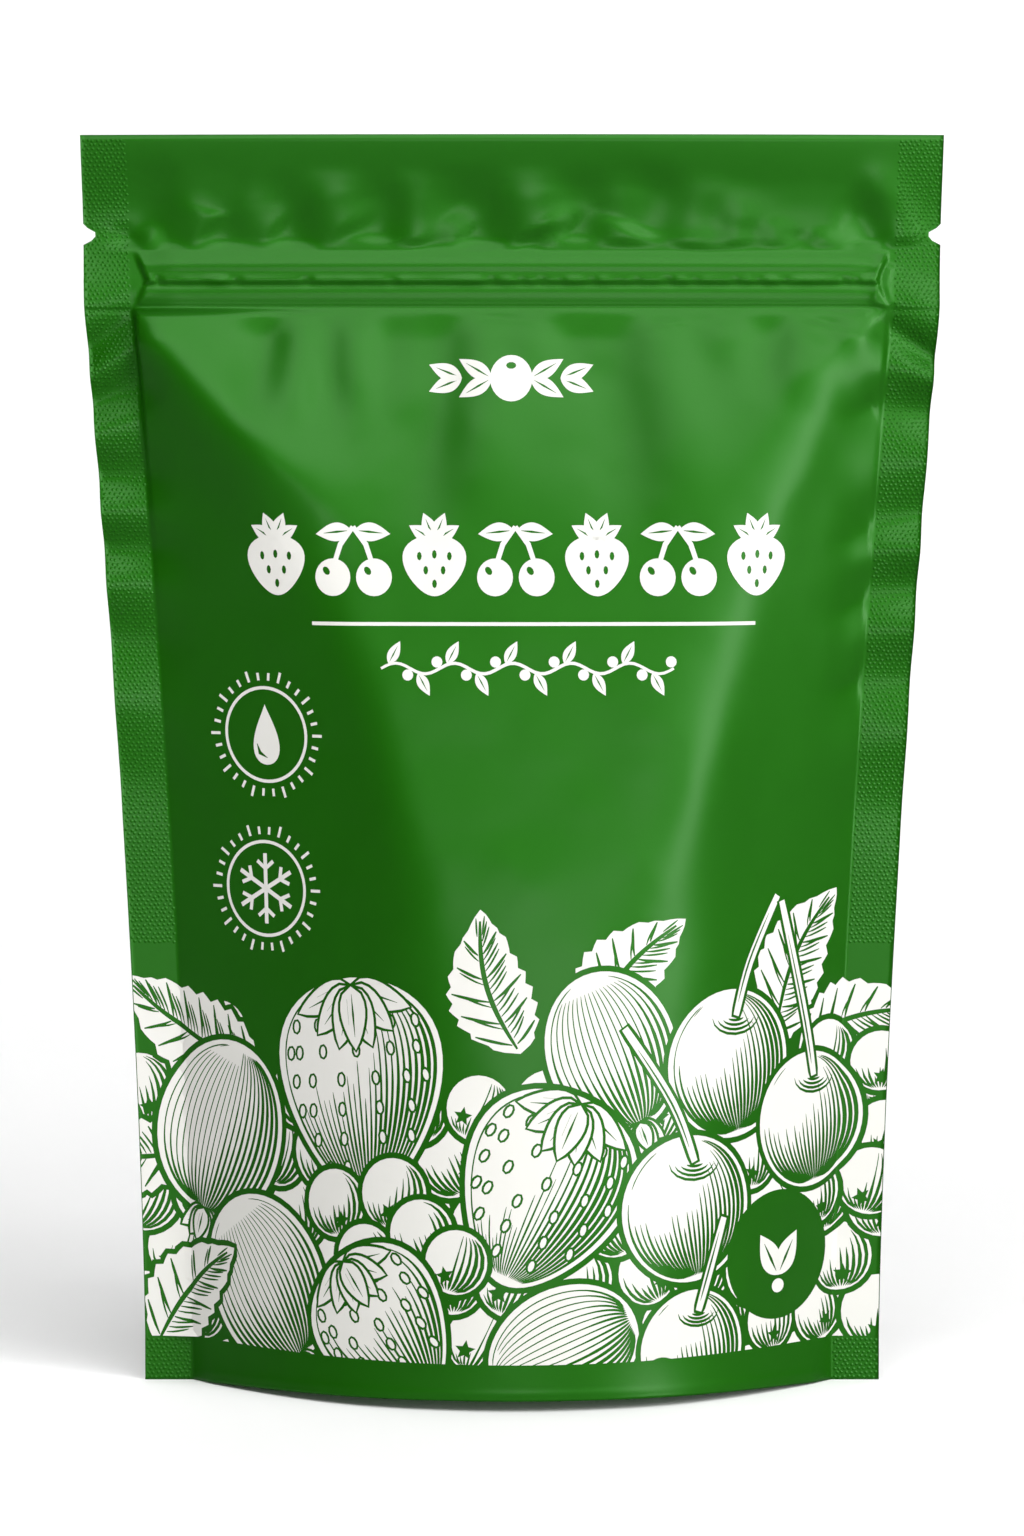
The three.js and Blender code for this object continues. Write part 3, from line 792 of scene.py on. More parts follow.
def film_points(u, z, facing, lift=0.0):
    """Where flat places u, z of the film end up. facing is -1 in front and 1 behind."""
    u, z = np.broadcast_arrays(np.asarray(u, float), np.asarray(z, float))
    x, depth = section(u, z)
    # Seen from behind, the back has its creases where the front has them.
    mirrored = -x if facing > 0 else x
    relief = sum(part(u, z) for part in (zip_relief, bead_nicks, header_swell, mottle))
    relief = relief + foot_marks(u, z) + zip_ledge(u, z)
    relief = relief + sum(crease(mirrored, z, loop, **LOOP_SHAPE) for loop in ZIP_END_LOOPS)
    inside = inside_panel(u, 0, 1.2)
    relief = relief + front_creases(mirrored, z) * inside
    # Close to the zip the two films are so near each other that they move together.
    free = np.clip(depth / FLUTE_FREE_DEPTH, 0, 1) * inside
    relief = relief + free * zip_flutes(mirrored, z)
    both = seal_wave(u, z) + seal_crease(u, z) + bow(x, z)
    both = both - header_waves(x, z) - (inside - free) * zip_flutes(x, z)
    out = HALF_WELD + np.maximum(0, depth + relief) + lift
    return np.stack([x, both + facing * out, lifted(u, z, facing)], -1)


middle_top = film_points([0.0], [HEIGHT], -1)[0]
print("the top edge comes forward to y =", round(middle_top[1], 1), "mm in its middle")

# %% [markdown]
# ## The pouch body
#
# Front and back are grids on the same film function, closed round the edge, with the
# foot between them. It could be a box with its sides pushed out, but two sheets welded
# at their edges are what the pouch is. Rows are closest over the zip, where the relief
# is finest, and a tear notch is made by moving the grid's edge inwards.

# %% Rows and columns of the grids: where a stretch starts, and the spacing along it
ROW_STRETCHES = [
    (0, 0.55), (8.8, 1.5), (40, 1.1), (ZIP_BOTTOM - 6, 0.6), (ZIP_BOTTOM - 0.6, 0.22),
    (ZIP_TOP + 0.5, 0.75), (HEIGHT - TOP_SEAL, 1.2),
]
COLUMN_STRETCHES = [
    (0, 0.95), (HALF_PANEL - 12, 0.7), (HALF_PANEL - 5, 0.42), (HALF_PANEL + 0.42, 0.9),
]


def spaced(stretches, end):
    """Places along all the stretches, up to the end."""
    ends = [start for start, _ in stretches[1:]] + [end]
    made = [np.linspace(start, stop, max(1, round((stop - start) / spacing)), endpoint=False)
            for (start, spacing), stop in zip(stretches, ends)]
    return np.concatenate([*made, [end]])


grid_z = spaced(ROW_STRETCHES, HEIGHT)
half_u = spaced(COLUMN_STRETCHES, FLAT_WIDTH / 2)
grid_u = np.concatenate([-half_u[:0:-1], half_u])
print(len(grid_u), "columns by", len(grid_z), "rows")

# %% The tear notches
NOTCH_Z = 198.7
NOTCH_DEPTH = 2.1
NOTCH_HALF = 1.25


def edge_cut(z):
    """How far the edge of the side seal is cut back at each height."""
    off = np.clip(np.abs(z - NOTCH_Z) / NOTCH_HALF, 0, 1)
    return NOTCH_DEPTH * np.sqrt(1 - off ** 3)


print("notches", edge_cut(NOTCH_Z), "mm deep at", NOTCH_Z, "mm")

# %% The foot: a rim and the sagging panel inside it
RIM = 1.3
LEAST_SPREAD = 0.4      # near the corners the rim keeps this share of the half depth
RIM_HEIGHT = 5.5
FOLD_HEIGHT = 9.0
SAG = 1.6
CLEARANCE = 0.05
FOOT_LANES = 18
FOOT_OPEN = 0.93        # as shares of the half panel: open up to here
FOOT_SHUT = 0.995       # and welded shut from here on


def foot_rows(u):
    """Rows of the underside from the front rim to the back rim, along the columns u."""
    front = film_points(u, np.zeros_like(u), -1)
    back = film_points(u, np.zeros_like(u), 1)
    middle = (front[:, 1] + back[:, 1]) / 2
    half = (back[:, 1] - front[:, 1]) / 2
    t = np.clip(np.abs(u) / HALF_PANEL, 0, 1)
    open_here = smooth(FOOT_SHUT, FOOT_OPEN, t)
    inner = np.maximum(half * LEAST_SPREAD, half - RIM)
    rows = []
    for lane in range(FOOT_LANES + 1):
        across = -1 + 2 * lane / FOOT_LANES
        sunk = SAG * ((1 - across ** 2) * (1 - t ** 2))
        roof = RIM_HEIGHT * (1 - sunk) + FOLD_HEIGHT * t ** 4 * (1 - abs(across))
        height = np.maximum(CLEARANCE, roof) * open_here
        rows.append(np.stack([front[:, 0], middle + inner * across, height], -1))
    rim = [np.stack([edge[:, 0], middle + side * inner, edge[:, 2]], -1)
           for side, edge in ((-1, front), (1, back))]
    return [rim[0], *rows, rim[1]]


underside = foot_rows(grid_u)
print("the underside sags to", round(min(row[len(half_u) - 1, 2] for row in underside[1:-1]), 2), "mm")

# %% The rows of the whole body: down the front, under the foot and up the back
edge_u = FLAT_WIDTH / 2 - edge_cut(grid_z)[:, None]
cut_u = np.clip(grid_u, -edge_u, edge_u)
front_grid = film_points(cut_u, grid_z[:, None], -1)
back_grid = film_points(cut_u, grid_z[:, None], 1)
body_rows = [*front_grid[::-1], *underside, *back_grid]
columns = len(grid_u)
print(len(body_rows), "rows of", columns, "points")

# %% Join the rows, and close the body along its top and its two sides
film_faces = []
for r in range(len(body_rows) - 1):
    for c in range(columns - 1):
        a = r * columns + c
        film_faces.append((a, a + columns, a + columns + 1, a + 1))
last = (len(body_rows) - 1) * columns
for c in range(columns - 1):
    film_faces.append((c, c + 1, last + c + 1, last + c))
rows_up = len(grid_z)
for side in (0, columns - 1):
    edge = [r * columns + side for r in range(len(body_rows))]
    front_edge = edge[:rows_up][::-1]
    back_edge = edge[-rows_up:]
    side_faces = [(front_edge[r], back_edge[r], back_edge[r + 1], front_edge[r + 1])
                  for r in range(rows_up - 1)]
    side_faces.append(tuple(edge[rows_up - 1:len(edge) - rows_up + 1]))
    film_faces += side_faces if side == 0 else [face[::-1] for face in side_faces]
film_body = mesh_object("pouch_film", np.concatenate(body_rows), film_faces)
print("film:", len(film_faces), "faces")

# %% [markdown]
# ## The film's finish
#
# The film is a laminate: green ink over a metallised layer, under a satin clear web. The
# metal layer mirrors softly in green, and the clear web adds a faint white sheen on top.
# A plain green plastic would look chalky, and a plain metal would turn black where it
# mirrors the dark room. So the shader is about half of each, under a soft clear coat.

# %% Satin green laminate
# What it gives the eye: a deep green that goes pale and soft-edged where a light is
# mirrored. The grain is the web's matting, drawn coarser than it is so that it shows.
SATIN_GRAIN_MM = 0.55
SATIN_GRAIN_HEIGHT_MM = 0.05
satin, tree = new_material("satin_green_laminate")
place = add_node(tree, "ShaderNodeTexCoord")
grain = add_node(tree, "ShaderNodeTexNoise", inputs={
    "Vector": place.outputs["Object"], "Scale": 1 / (SATIN_GRAIN_MM * MM), "Detail": 2.0,
    "Roughness": 0.6,
})
bump = add_node(tree, "ShaderNodeBump", inputs={
    "Strength": 0.30, "Distance": SATIN_GRAIN_HEIGHT_MM * MM, "Height": grain.outputs["Fac"],
})
shader = add_node(tree, "ShaderNodeBsdfPrincipled", inputs={
    "Base Color": linear("#196004"), "Metallic": 0.45, "Roughness": 0.50,
    "Specular IOR Level": 0.0, "Coat Weight": 1.0, "Coat Roughness": 0.32, "Coat IOR": 1.26,
    "Normal": bump.outputs["Normal"],
})
add_node(tree, "ShaderNodeOutputMaterial", inputs={"Surface": shader.outputs["BSDF"]})
film_body.data.materials.append(satin)
print(satin.name, "with a grain of", SATIN_GRAIN_MM, "mm")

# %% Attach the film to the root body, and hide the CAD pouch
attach(film_body, "root")
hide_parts("pouch")
print("film:", len(film_body.data.vertices), "points")

# %% [markdown]
# ## The knurled seals
#
# The heated jaws that weld the seals are knurled, so the film keeps rows of small pips.
# Light from above and from the right catches one side of each. They are many and all
# alike, which is a job for Geometry Nodes: one cone is set on every site, aligned to the
# film there. A bump map would be lighter, but the pips would have no outline. Where thick
# ink lies over the seals it fills the knurls, so the pips are left out there.

# %% Where the pips stand, and which way is out
PIP_ACROSS = 0.84
PIP_UP = 0.72
PIP_RADIUS = 0.33
PIP_HEIGHT = 0.12
PIP_SIDES = 6
PIP_MARGIN = 0.5
PIP_STRAY = 0.07
PIP_SEED = 11
INKED_FROM = 7.0        # the heights between which ink lies over the seals
INKED_TO = 76.0
PROBE = 0.05

pip_draw = np.random.default_rng(PIP_SEED)
foot_pip_rows = np.arange(PIP_MARGIN, INKED_FROM, PIP_UP)
upper_pip_rows = np.arange(INKED_TO, HEIGHT - PIP_MARGIN, PIP_UP)
pip_u = []
pip_z = []
for row, z in enumerate([*foot_pip_rows, *upper_pip_rows]):
    first = HALF_PANEL + PIP_MARGIN + (row % 2) * PIP_ACROSS / 2
    for u in np.arange(first, FLAT_WIDTH / 2 - edge_cut(z) - PIP_MARGIN, PIP_ACROSS):
        pip_u += [-u, u]
        pip_z += [z, z]
pip_u = np.array(pip_u) + pip_draw.normal(0, PIP_STRAY, len(pip_u))
pip_z = np.array(pip_z) + pip_draw.normal(0, PIP_STRAY, len(pip_z))
pip_points = []
pip_out = []
for facing in (-1, 1):
    at = film_points(pip_u, pip_z, facing)
    aside = film_points(pip_u + PROBE, pip_z, facing) - at
    up = film_points(pip_u, pip_z + PROBE, facing) - at
    out = np.cross(aside, up) * -facing
    pip_points.append(at)
    pip_out.append(out / np.linalg.norm(out, axis=1)[:, None])
sites = mesh_object("seal_pips", np.concatenate(pip_points), [])
out_data = sites.data.attributes.new("out", "FLOAT_VECTOR", "POINT")
out_data.data.foreach_set("vector", np.concatenate(pip_out).ravel())
print(len(sites.data.vertices), "pips")

# %% One cone on every site
pip_tree = bpy.data.node_groups.new("pips_on_sites", "GeometryNodeTree")
pip_tree.interface.new_socket("Geometry", in_out="INPUT", socket_type="NodeSocketGeometry")
for label in ("Pip radius", "Pip height"):
    pip_tree.interface.new_socket(label, in_out="INPUT", socket_type="NodeSocketFloat")
pip_tree.interface.new_socket("Material", in_out="INPUT", socket_type="NodeSocketMaterial")
pip_tree.interface.new_socket("Geometry", in_out="OUTPUT", socket_type="NodeSocketGeometry")
entry = add_node(pip_tree, "NodeGroupInput")
cone = add_node(pip_tree, "GeometryNodeMeshCone", inputs={
    "Vertices": PIP_SIDES, "Radius Top": 0.0, "Radius Bottom": entry.outputs["Pip radius"],
    "Depth": entry.outputs["Pip height"],
})
out_way = add_node(pip_tree, "GeometryNodeInputNamedAttribute", {"data_type": "FLOAT_VECTOR"}, {
    "Name": "out",
})
upright = add_node(pip_tree, "FunctionNodeAlignRotationToVector", {"axis": "Z"}, {
    "Vector": out_way.outputs["Attribute"],
})
placed = add_node(pip_tree, "GeometryNodeInstanceOnPoints", inputs={
    "Points": entry.outputs["Geometry"], "Instance": cone.outputs["Mesh"],
    "Rotation": upright.outputs["Rotation"],
})
real = add_node(pip_tree, "GeometryNodeRealizeInstances", inputs={
    "Geometry": placed.outputs["Instances"],
})
painted = add_node(pip_tree, "GeometryNodeSetMaterial", inputs={
    "Geometry": real.outputs["Geometry"], "Material": entry.outputs["Material"],
})
add_node(pip_tree, "NodeGroupOutput", inputs={"Geometry": painted.outputs["Geometry"]})
print("the tree has", len(pip_tree.nodes), "nodes")

# %% Set the tree's inputs and keep its mesh
maker = sites.modifiers.new("pips", "NODES")
maker.node_group = pip_tree
wanted = {"Pip radius": PIP_RADIUS * MM, "Pip height": PIP_HEIGHT * MM, "Material": satin}
for socket in pip_tree.interface.items_tree:
    if socket.in_out == "INPUT" and socket.name in wanted:
        maker[socket.identifier] = wanted[socket.name]
scene_now = bpy.context.evaluated_depsgraph_get()
pips_mesh = bpy.data.meshes.new_from_object(sites.evaluated_get(scene_now))
sites.modifiers.clear()
sites.data = pips_mesh
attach(sites, "root")
print("pips:", len(pips_mesh.polygons), "faces")

# %% [markdown]
# ## The print
#
# The film was printed flat, before it was made into a pouch: white ink, with the fine
# lines left open so that the green shows through. So the print is drawn flat too, in
# millimetres, as ink with holes, and then laid on the bent film. A texture would look the
# same from afar. Real outlines stay sharp close up, and need no picture.
#
# The fruit is drawn like an engraving. Lines run round every form. They swell where the
# form turns away from the light and vanish where it faces it. Fruits later in the list lie
# over the earlier ones, and a green gap is kept round each.

# %% Flat shapes
GAP = 1.0               # green kept open round a fruit
PRINT_SEED = 17
draw = np.random.default_rng(PRINT_SEED)


def turned(points, centre, turn):
    """Points turned by degrees about the origin and moved to a centre."""
    c, s = math.cos(math.radians(turn)), math.sin(math.radians(turn))
    p = np.asarray(points, float)
    return np.stack([p[:, 0] * c - p[:, 1] * s, p[:, 0] * s + p[:, 1] * c], -1) + centre


def full_turn(count):
    """That many angles, evenly round a circle."""
    return np.linspace(0, 2 * math.pi, count, endpoint=False)


def oval(centre, across, up, turn=0.0, count=36):
    """An oval's outline, from its two half widths."""
    t = full_turn(count)
    return turned(np.stack([across * np.cos(t), up * np.sin(t)], -1), centre, turn)


def beside(path):
    """Directions of length 1 across a path, at each of its points."""
    way = np.gradient(path, axis=0)
    return np.stack([-way[:, 1], way[:, 0]], -1) / np.maximum(np.hypot(*way.T), 1e-9)[:, None]


def line(points, width, blunt=0.15):
    """A line that swells to its width in the middle and tapers to its ends."""
    p = np.asarray(points, float)
    t = np.linspace(0, 1, len(p))
    half = width / 2 * (blunt + (1 - blunt) * np.sin(math.pi * t) ** 0.7)
    aside = beside(p) * half[:, None]
    return np.concatenate([p - aside, (p + aside)[::-1]])


def motif(outline, holes=(), gap=GAP, bare=False):
    """One shape of the drawing. holes are left open in its ink, gap is kept open round
    it, and a bare shape has no ink of its own."""
    return {"outline": np.asarray(outline), "holes": list(holes), "gap": gap, "bare": bare}


print("an oval has", len(oval((0, 0), 1, 1)), "points")

# %% Light and shade on a drawn form
SUN = (-0.50, 0.55, 0.67)
LIT_FULLY = 0.90        # how squarely a form faces the sun where its shade starts
SHADE_RANGE = 0.78
EDGE_STARTS = 0.42      # how little it faces the reader where its edge darkens
EDGE_SHADE = 0.75


def shade(facing):
    """0 in full light and 1 in full shade, for a form that faces aside and up so far."""
    front = np.sqrt(np.clip(1 - (facing ** 2).sum(-1), 0, 1))
    lit = facing[:, 0] * SUN[0] + facing[:, 1] * SUN[1] + front * SUN[2]
    edge = np.clip((EDGE_STARTS - front) / EDGE_STARTS, 0, 1)
    return np.clip(np.maximum((LIT_FULLY - lit) / SHADE_RANGE, EDGE_SHADE * edge), 0, 1)


print("shade from left to right:", shade(np.array([(x, 0.0) for x in (-0.8, 0.0, 0.8)])).round(2))

# %% Lines that swell in the shade
PITCH = 1.05
HATCH_STEP = 1.15
LEAST_LINE = 0.15
SHORTEST_LINE = 3
LINE_END = 0.04
LINE_TO_LINE = (-0.17, 0.09)    # how much one line may be lighter or darker than the next
ALONG_LINE = 0.03
LINE_SHADE = 0.74


def swelling(path, widths):
    """Cuts a path into lines of the widths asked for, and leaves its thin parts out."""
    wide = np.concatenate([[False], widths > LEAST_LINE, [False]])
    ends = np.flatnonzero(wide[1:] != wide[:-1])
    aside = beside(path)
    made = []
    for a, b in zip(ends[::2], ends[1::2]):
        if b - a < SHORTEST_LINE:
            continue
        half = widths[a:b] / 2
        half[[0, -1]] = LINE_END
        off = aside[a:b] * half[:, None]
        made.append(np.concatenate([path[a:b] - off, (path[a:b] + off)[::-1]]))
    return made


def hatch(form, span, centre, turn, length, count, dark=LINE_SHADE, least_shade=0.0):
    """Lines round a form. form tells, for a line's share from -1 to 1 and the angles
    along it, the flat places, which way the form faces and how close the lines are."""
    holes = []
    for k in range(count):
        share = (k + 0.5) / count * 2 - 1
        along = np.linspace(*np.radians(span), max(6, int(length / HATCH_STEP)))
        place, facing, crowding = form(share, along)
        dim = shade(turned(facing, (0, 0), turn)) + draw.uniform(*LINE_TO_LINE)
        dim = np.clip(dim + draw.normal(0, ALONG_LINE, len(dim)), least_shade, 1)
        holes += swelling(turned(place, centre, turn), PITCH * crowding * dark * dim)
    return holes


print("lines are", PITCH, "mm apart")

# %% The two forms that the lines run round
INSET = 0.95            # the lines end a little inside the outline
HEART_WIDE = 0.84
HEART_SHOULDER = 0.30


def ball(across, up):
    """The form of a round fruit, by latitude."""
    def form(share, along):
        facing = np.stack([np.cos(along) * share, np.sin(along)], -1)
        return facing * (INSET * across, INSET * up), facing, np.cos(along) ** 0.7
    return form


def heart(size):
    """The form of a strawberry, by angle from its top."""
    def form(share, along):
        wide = np.sin(along) * (1 + HEART_SHOULDER * np.cos(along))
        across = HEART_WIDE * INSET * size * wide * share
        place = np.stack([across, 0.96 * size * np.cos(along)], -1)
        return place, np.stack([np.sin(along) * share, np.cos(along)], -1), wide
    return form


def heart_outline(across, up, count):
    """A strawberry's outline, broad above and narrow below."""
    t = full_turn(count)
    return np.stack([-across * np.sin(t) * (1 + HEART_SHOULDER * np.cos(t)), up * np.cos(t)], -1)


breadth, rise = np.ptp(heart_outline(HEART_WIDE, 1.0, 52), axis=0)
print("a strawberry is", round(breadth / rise, 2), "times as broad as it is high")

# %% Leaves and stalks
# Lines of a leaf, on each side of its rib: where they start between two veins, width
LEAF_LINES = {
    -1: ((0.0, 0.55), (0.28, 0.36), (0.52, 0.40), (0.76, 0.36)),
    1: ((0.0, 0.55), (0.76, 0.36)),
}
VEIN_PITCH = 4.2
VEIN_POINTS = 5
VEINS_FROM = 0.06       # shares of the leaf's length: where its veins start,
VEINS_SPAN = 0.80       # how much of the rib they take,
VEIN_RUN = 0.13         # and how far each runs along the leaf
VEIN_REACH = 0.88       # shares of the leaf's half width
FINE_REACH = 0.66
RIB_HALF = 0.45
LEAF_BEND = 0.10
TOOTH = 0.20


def leaf(root, length, width, turn, teeth=9):
    """A toothed leaf from its stalk, with a rib, veins and a shaded half."""
    t = np.linspace(0, 1, teeth * 3 + 1)
    half = width / 2 * np.sin(math.pi * t ** 0.75) ** 0.85
    half = half * (1 - TOOTH / 2 + TOOTH * ((t * teeth) % 1.0))
    bend = LEAF_BEND * length * np.sin(math.pi * t)
    upper = np.stack([length * t, bend + half], -1)
    lower = np.stack([length * t, bend - half], -1)
    outline = turned(np.concatenate([lower[:-1], upper[:0:-1]]), root, turn)
    rib = np.stack([length * t, bend], -1)[1:-2]
    holes = [line(turned(rib, root, turn), 0.9, 0.4)]
    veins = max(5, int(length / VEIN_PITCH))
    outwards = np.linspace(0, 1, VEIN_POINTS) ** 0.85
    for k in range(veins):
        for side, lines in LEAF_LINES.items():
            for part, line_width in lines:
                a = VEINS_FROM + VEINS_SPAN * (k + part) / veins
                b = min(0.97, a + VEIN_RUN)
                at = np.interp([a, b], t, bend)
                reach = np.interp(b, t, half) * (VEIN_REACH if part == 0 else FINE_REACH)
                x = length * np.linspace(a + 0.01, b, VEIN_POINTS)
                off_rib = side * (RIB_HALF + (reach - RIB_HALF) * outwards)
                path = np.stack([x, np.linspace(*at, VEIN_POINTS) + off_rib], -1)
                holes.append(line(turned(path, root, turn), line_width, 0.4))
    return [motif(outline, holes)]


def plain_outline(length, width, count, fullest, fullness=1.0):
    """A leaf's outline without teeth. The lower fullest is, the nearer its root it is
    widest, and the lower fullness is, the blunter are its ends."""
    t = np.linspace(0, 1, count)
    half = width / 2 * np.sin(math.pi * t ** fullest) ** fullness
    lower = np.stack([length * t, -half], -1)
    upper = np.stack([length * t, half], -1)
    return np.concatenate([lower[:-1], upper[:0:-1]])


def small_leaf(root, length, width, turn):
    """A sepal, with two veins."""
    outline = plain_outline(length, width, 9, 0.7, 0.8)
    middle_vein = [(length * share, 0) for share in (0.12, 0.45, 0.8)]
    side_vein = [(length * share, -width * 0.2) for share in (0.2, 0.6)]
    veins = [line(turned(middle_vein, root, turn), 0.42), line(turned(side_vein, root, turn), 0.34)]
    return [motif(turned(outline, root, turn), veins, 0.5)]


def stalk(points, width=1.5):
    """A stalk along a path, with a groove."""
    path = rounded_path(points)
    groove = line(path[2:-2] + beside(path)[2:-2] * width * 0.12, width * 0.26)
    return [motif(line(path, width, 0.8), [groove], 0.6)]


print("a leaf 30 mm long has", len(leaf((0, 0), 30.0, 16.0, 0.0)[0]["holes"]), "lines")

# %% Strawberries and cherries
SEED_ROWS = (0.58, 0.34, 0.08, -0.19, -0.46, -0.72)
SEED_PITCH = 2.3
SEEDS_INSET = 0.84
SEPALS = (-160, -20, -134, -46, -108, -72, -90)
SEPALS_BEHIND = 2
LONG_SEPAL = 0.64       # of those behind, as a share of the fruit's size
SEPAL = 0.58
SEPAL_WIDTH = 0.27
CHERRY_FLAT = 0.97
DIMPLE_AT = (0.08, 0.62)
DIMPLE_LINES = 4


def strawberry(centre, size, turn):
    """A strawberry with seeds in their pits, and its star of sepals."""
    holes = hatch(heart(size), (26, 166), centre, turn, 2.2 * size, int(1.55 * size / PITCH))
    made = [motif(turned(heart_outline(HEART_WIDE * size, size, 52), centre, turn), holes)]
    for row, z in enumerate(SEED_ROWS):
        wide = HEART_WIDE * math.sin(math.acos(z)) * (1 + HEART_SHOULDER * z) * SEEDS_INSET
        seeds = max(2, round(wide * size / SEED_PITCH))
        for k in range(seeds):
            x = wide * math.sin((k + 0.5 - 0.5 * (row % 2)) / seeds * math.pi - math.pi / 2)
            at = turned([(x * size, z * size)], centre, turn)[0]
            made.append(motif(oval(at, 0.50, 0.95, turn + 14 * x, 9), gap=0.42))
    crown = turned([(0, 0.92 * size)], centre, turn)[0]
    for k, sepal in enumerate(SEPALS):
        length = size * (LONG_SEPAL if k < SEPALS_BEHIND else SEPAL)
        made += small_leaf(crown, length, size * SEPAL_WIDTH, turn + sepal)
    return made


def cherry(centre, size, stalk_path):
    """A cherry: a shaded ball, with a dimple where its stalk stands."""
    up = size * CHERRY_FLAT
    holes = hatch(ball(size, up), (-76, 66), centre, 10, 2.2 * size, int(2 * size / PITCH))
    dimple = np.array(centre) + (DIMPLE_AT[0] * size, DIMPLE_AT[1] * size)
    for k in range(DIMPLE_LINES):
        angle = np.linspace(math.pi * (1.02 + 0.06 * k), math.pi * (1.98 - 0.06 * k), 9)
        across = (0.40 - 0.08 * k) * size
        down = (0.24 - 0.06 * k) * size
        arc = np.stack([across * np.cos(angle), down * np.sin(angle)], -1)
        holes.append(line(arc + dimple, 0.50))
    body = motif(oval(centre, size, up, 0, 48), holes)
    return [body, *stalk([tuple(dimple), *stalk_path])]


print("a strawberry has", len(SEED_ROWS), "rows of seeds and", len(SEPALS), "sepals")

# %% Gooseberries and currants
CALYX = (-130, -50, -108, -72, -90)
CROWN_POINTS = 5


def gooseberry(centre, across, up, turn):
    """A gooseberry: striped from end to end, with a dried flower at its tip."""
    holes = hatch(ball(across, up), (-74, 74), centre, turn, 2.1 * up, int(1.7 * across / PITCH),
                  dark=0.72, least_shade=0.30)
    made = [motif(oval(centre, across, up, turn, 48), holes)]
    tip = turned([(0, -0.93 * up)], centre, turn)[0]
    for way in CALYX:
        made += small_leaf(tip, up * 0.36, across * 0.24, turn + way)
    return made


def currant(centre, size, turn):
    """A small round currant with its dry crown."""
    length = 1.9 * size
    holes = hatch(ball(size, size), (-72, 64), centre, turn * 0.4, length, int(length / PITCH))
    crown = turned([(0, -0.55 * size)], centre, turn)[0]
    t = full_turn(2 * CROWN_POINTS)
    reach = np.where(np.arange(2 * CROWN_POINTS) % 2, 0.14, 0.30)[:, None]
    holes.append(turned(np.stack([np.cos(t), np.sin(t)], -1) * reach * size, crown, turn))
    return [motif(oval(centre, size, size, 0, 28), holes)]


def currant_string(points, size, count):
    """Currants that hang on both sides of a stalk."""
    path = rounded_path(points)
    made = stalk(points, 1.3)
    for k in range(count):
        index = int((k + 0.5) / count * (len(path) - 1))
        way = path[min(len(path) - 1, index + 1)] - path[index]
        side = np.array([-way[1], way[0]]) / max(1e-6, math.hypot(*way)) * (1 if k % 2 else -1)
        at = path[index] + side * size * 0.92
        made += currant(at, size * draw.uniform(0.92, 1.08), draw.uniform(-50, 50))
    return made


print("a currant's crown has", CROWN_POINTS, "points")

# %% The small fruit at the back of the heap
BAND_LOW = 7.6
PRINT_MARGIN = 0.15     # left free at the film's edges
HALF_PRINT = FLAT_WIDTH / 2 - PRINT_MARGIN
BACK_ROWS = 8
BACK_COLUMNS = 15
BACK_PITCH = 11.4
BACK_ROW = 9.6
BACK_LOWEST = 3.0
BACK_STRAY = 1.0


def fill_top(x):
    """How high the small fruit at the back is heaped."""
    return 60.0 + 5.0 * math.sin(x / 13.0) - 4.0 * math.cos(x / 31.0 + 0.6)


heap = []
for row in range(BACK_ROWS):
    for column in range(BACK_COLUMNS):
        x = (column - BACK_COLUMNS // 2) * BACK_PITCH + (row % 2) * BACK_PITCH / 2
        at = np.array([x, BACK_LOWEST + row * BACK_ROW]) + draw.uniform(-BACK_STRAY, BACK_STRAY, 2)
        if at[1] < fill_top(at[0]) and abs(at[0]) < HALF_PRINT + 4:
            heap += currant(at, draw.uniform(5.4, 6.5), draw.uniform(-70, 70))
print(len(heap), "currants at the back")

# %% The leaves and the large fruit, from the back of the heap to its front
heap += leaf((-50.0, 56.0), 30.0, 16.0, 152.0)
heap += leaf((-66.0, 40.0), 22.0, 13.0, 175.0)
heap += leaf((1.0, 60.0), 25.0, 14.5, 106.0)
heap += leaf((12.0, 62.0), 27.0, 14.5, 48.0)
heap += leaf((50.0, 60.0), 29.0, 16.0, 62.0)
heap += leaf((56.0, 56.0), 27.0, 15.0, 18.0)
heap += currant_string([(68.0, 58.0), (70.0, 44.0), (66.0, 30.0)], 5.4, 7)
heap += gooseberry((-58.0, 44.0), 13.5, 16.0, -20.0)
heap += gooseberry((17.0, 60.0), 11.5, 14.0, 22.0)
heap += cherry((40.0, 57.0), 13.0, [(44.0, 74.0), (50.0, 85.0)])
heap += strawberry((-28.0, 53.5), 18.5, 6.0)
heap += cherry((59.0, 46.0), 12.0, [(57.5, 63.0), (51.0, 84.0)])
heap += strawberry((5.0, 37.0), 17.0, -24.0)
heap += gooseberry((-48.0, 19.0), 13.0, 15.5, 34.0)
heap += cherry((31.5, 33.0), 12.8, [(28.0, 51.0), (19.0, 64.0)])
heap += currant_string([(-29.0, 38.0), (-21.0, 27.0), (-12.0, 20.0)], 5.8, 6)
heap += strawberry((-23.0, 13.0), 14.5, 36.0)
heap += gooseberry((9.0, 10.0), 11.0, 13.5, -66.0)
heap += cherry((33.0, 9.0), 10.5, [(36.0, 22.0), (39.0, 31.0)])
heap += leaf((-73.0, 6.0), 25.0, 14.0, 46.0)

# The plain green disc: ink is left out under it.
DISC_CENTRE = (52.2, 23.4)
DISC_ACROSS = 12.3
DISC_UP = 11.1
heap.append(motif(oval(DISC_CENTRE, DISC_ACROSS, DISC_UP, 0, 56), gap=0.0, bare=True))
print("the heap has", len(heap), "shapes")

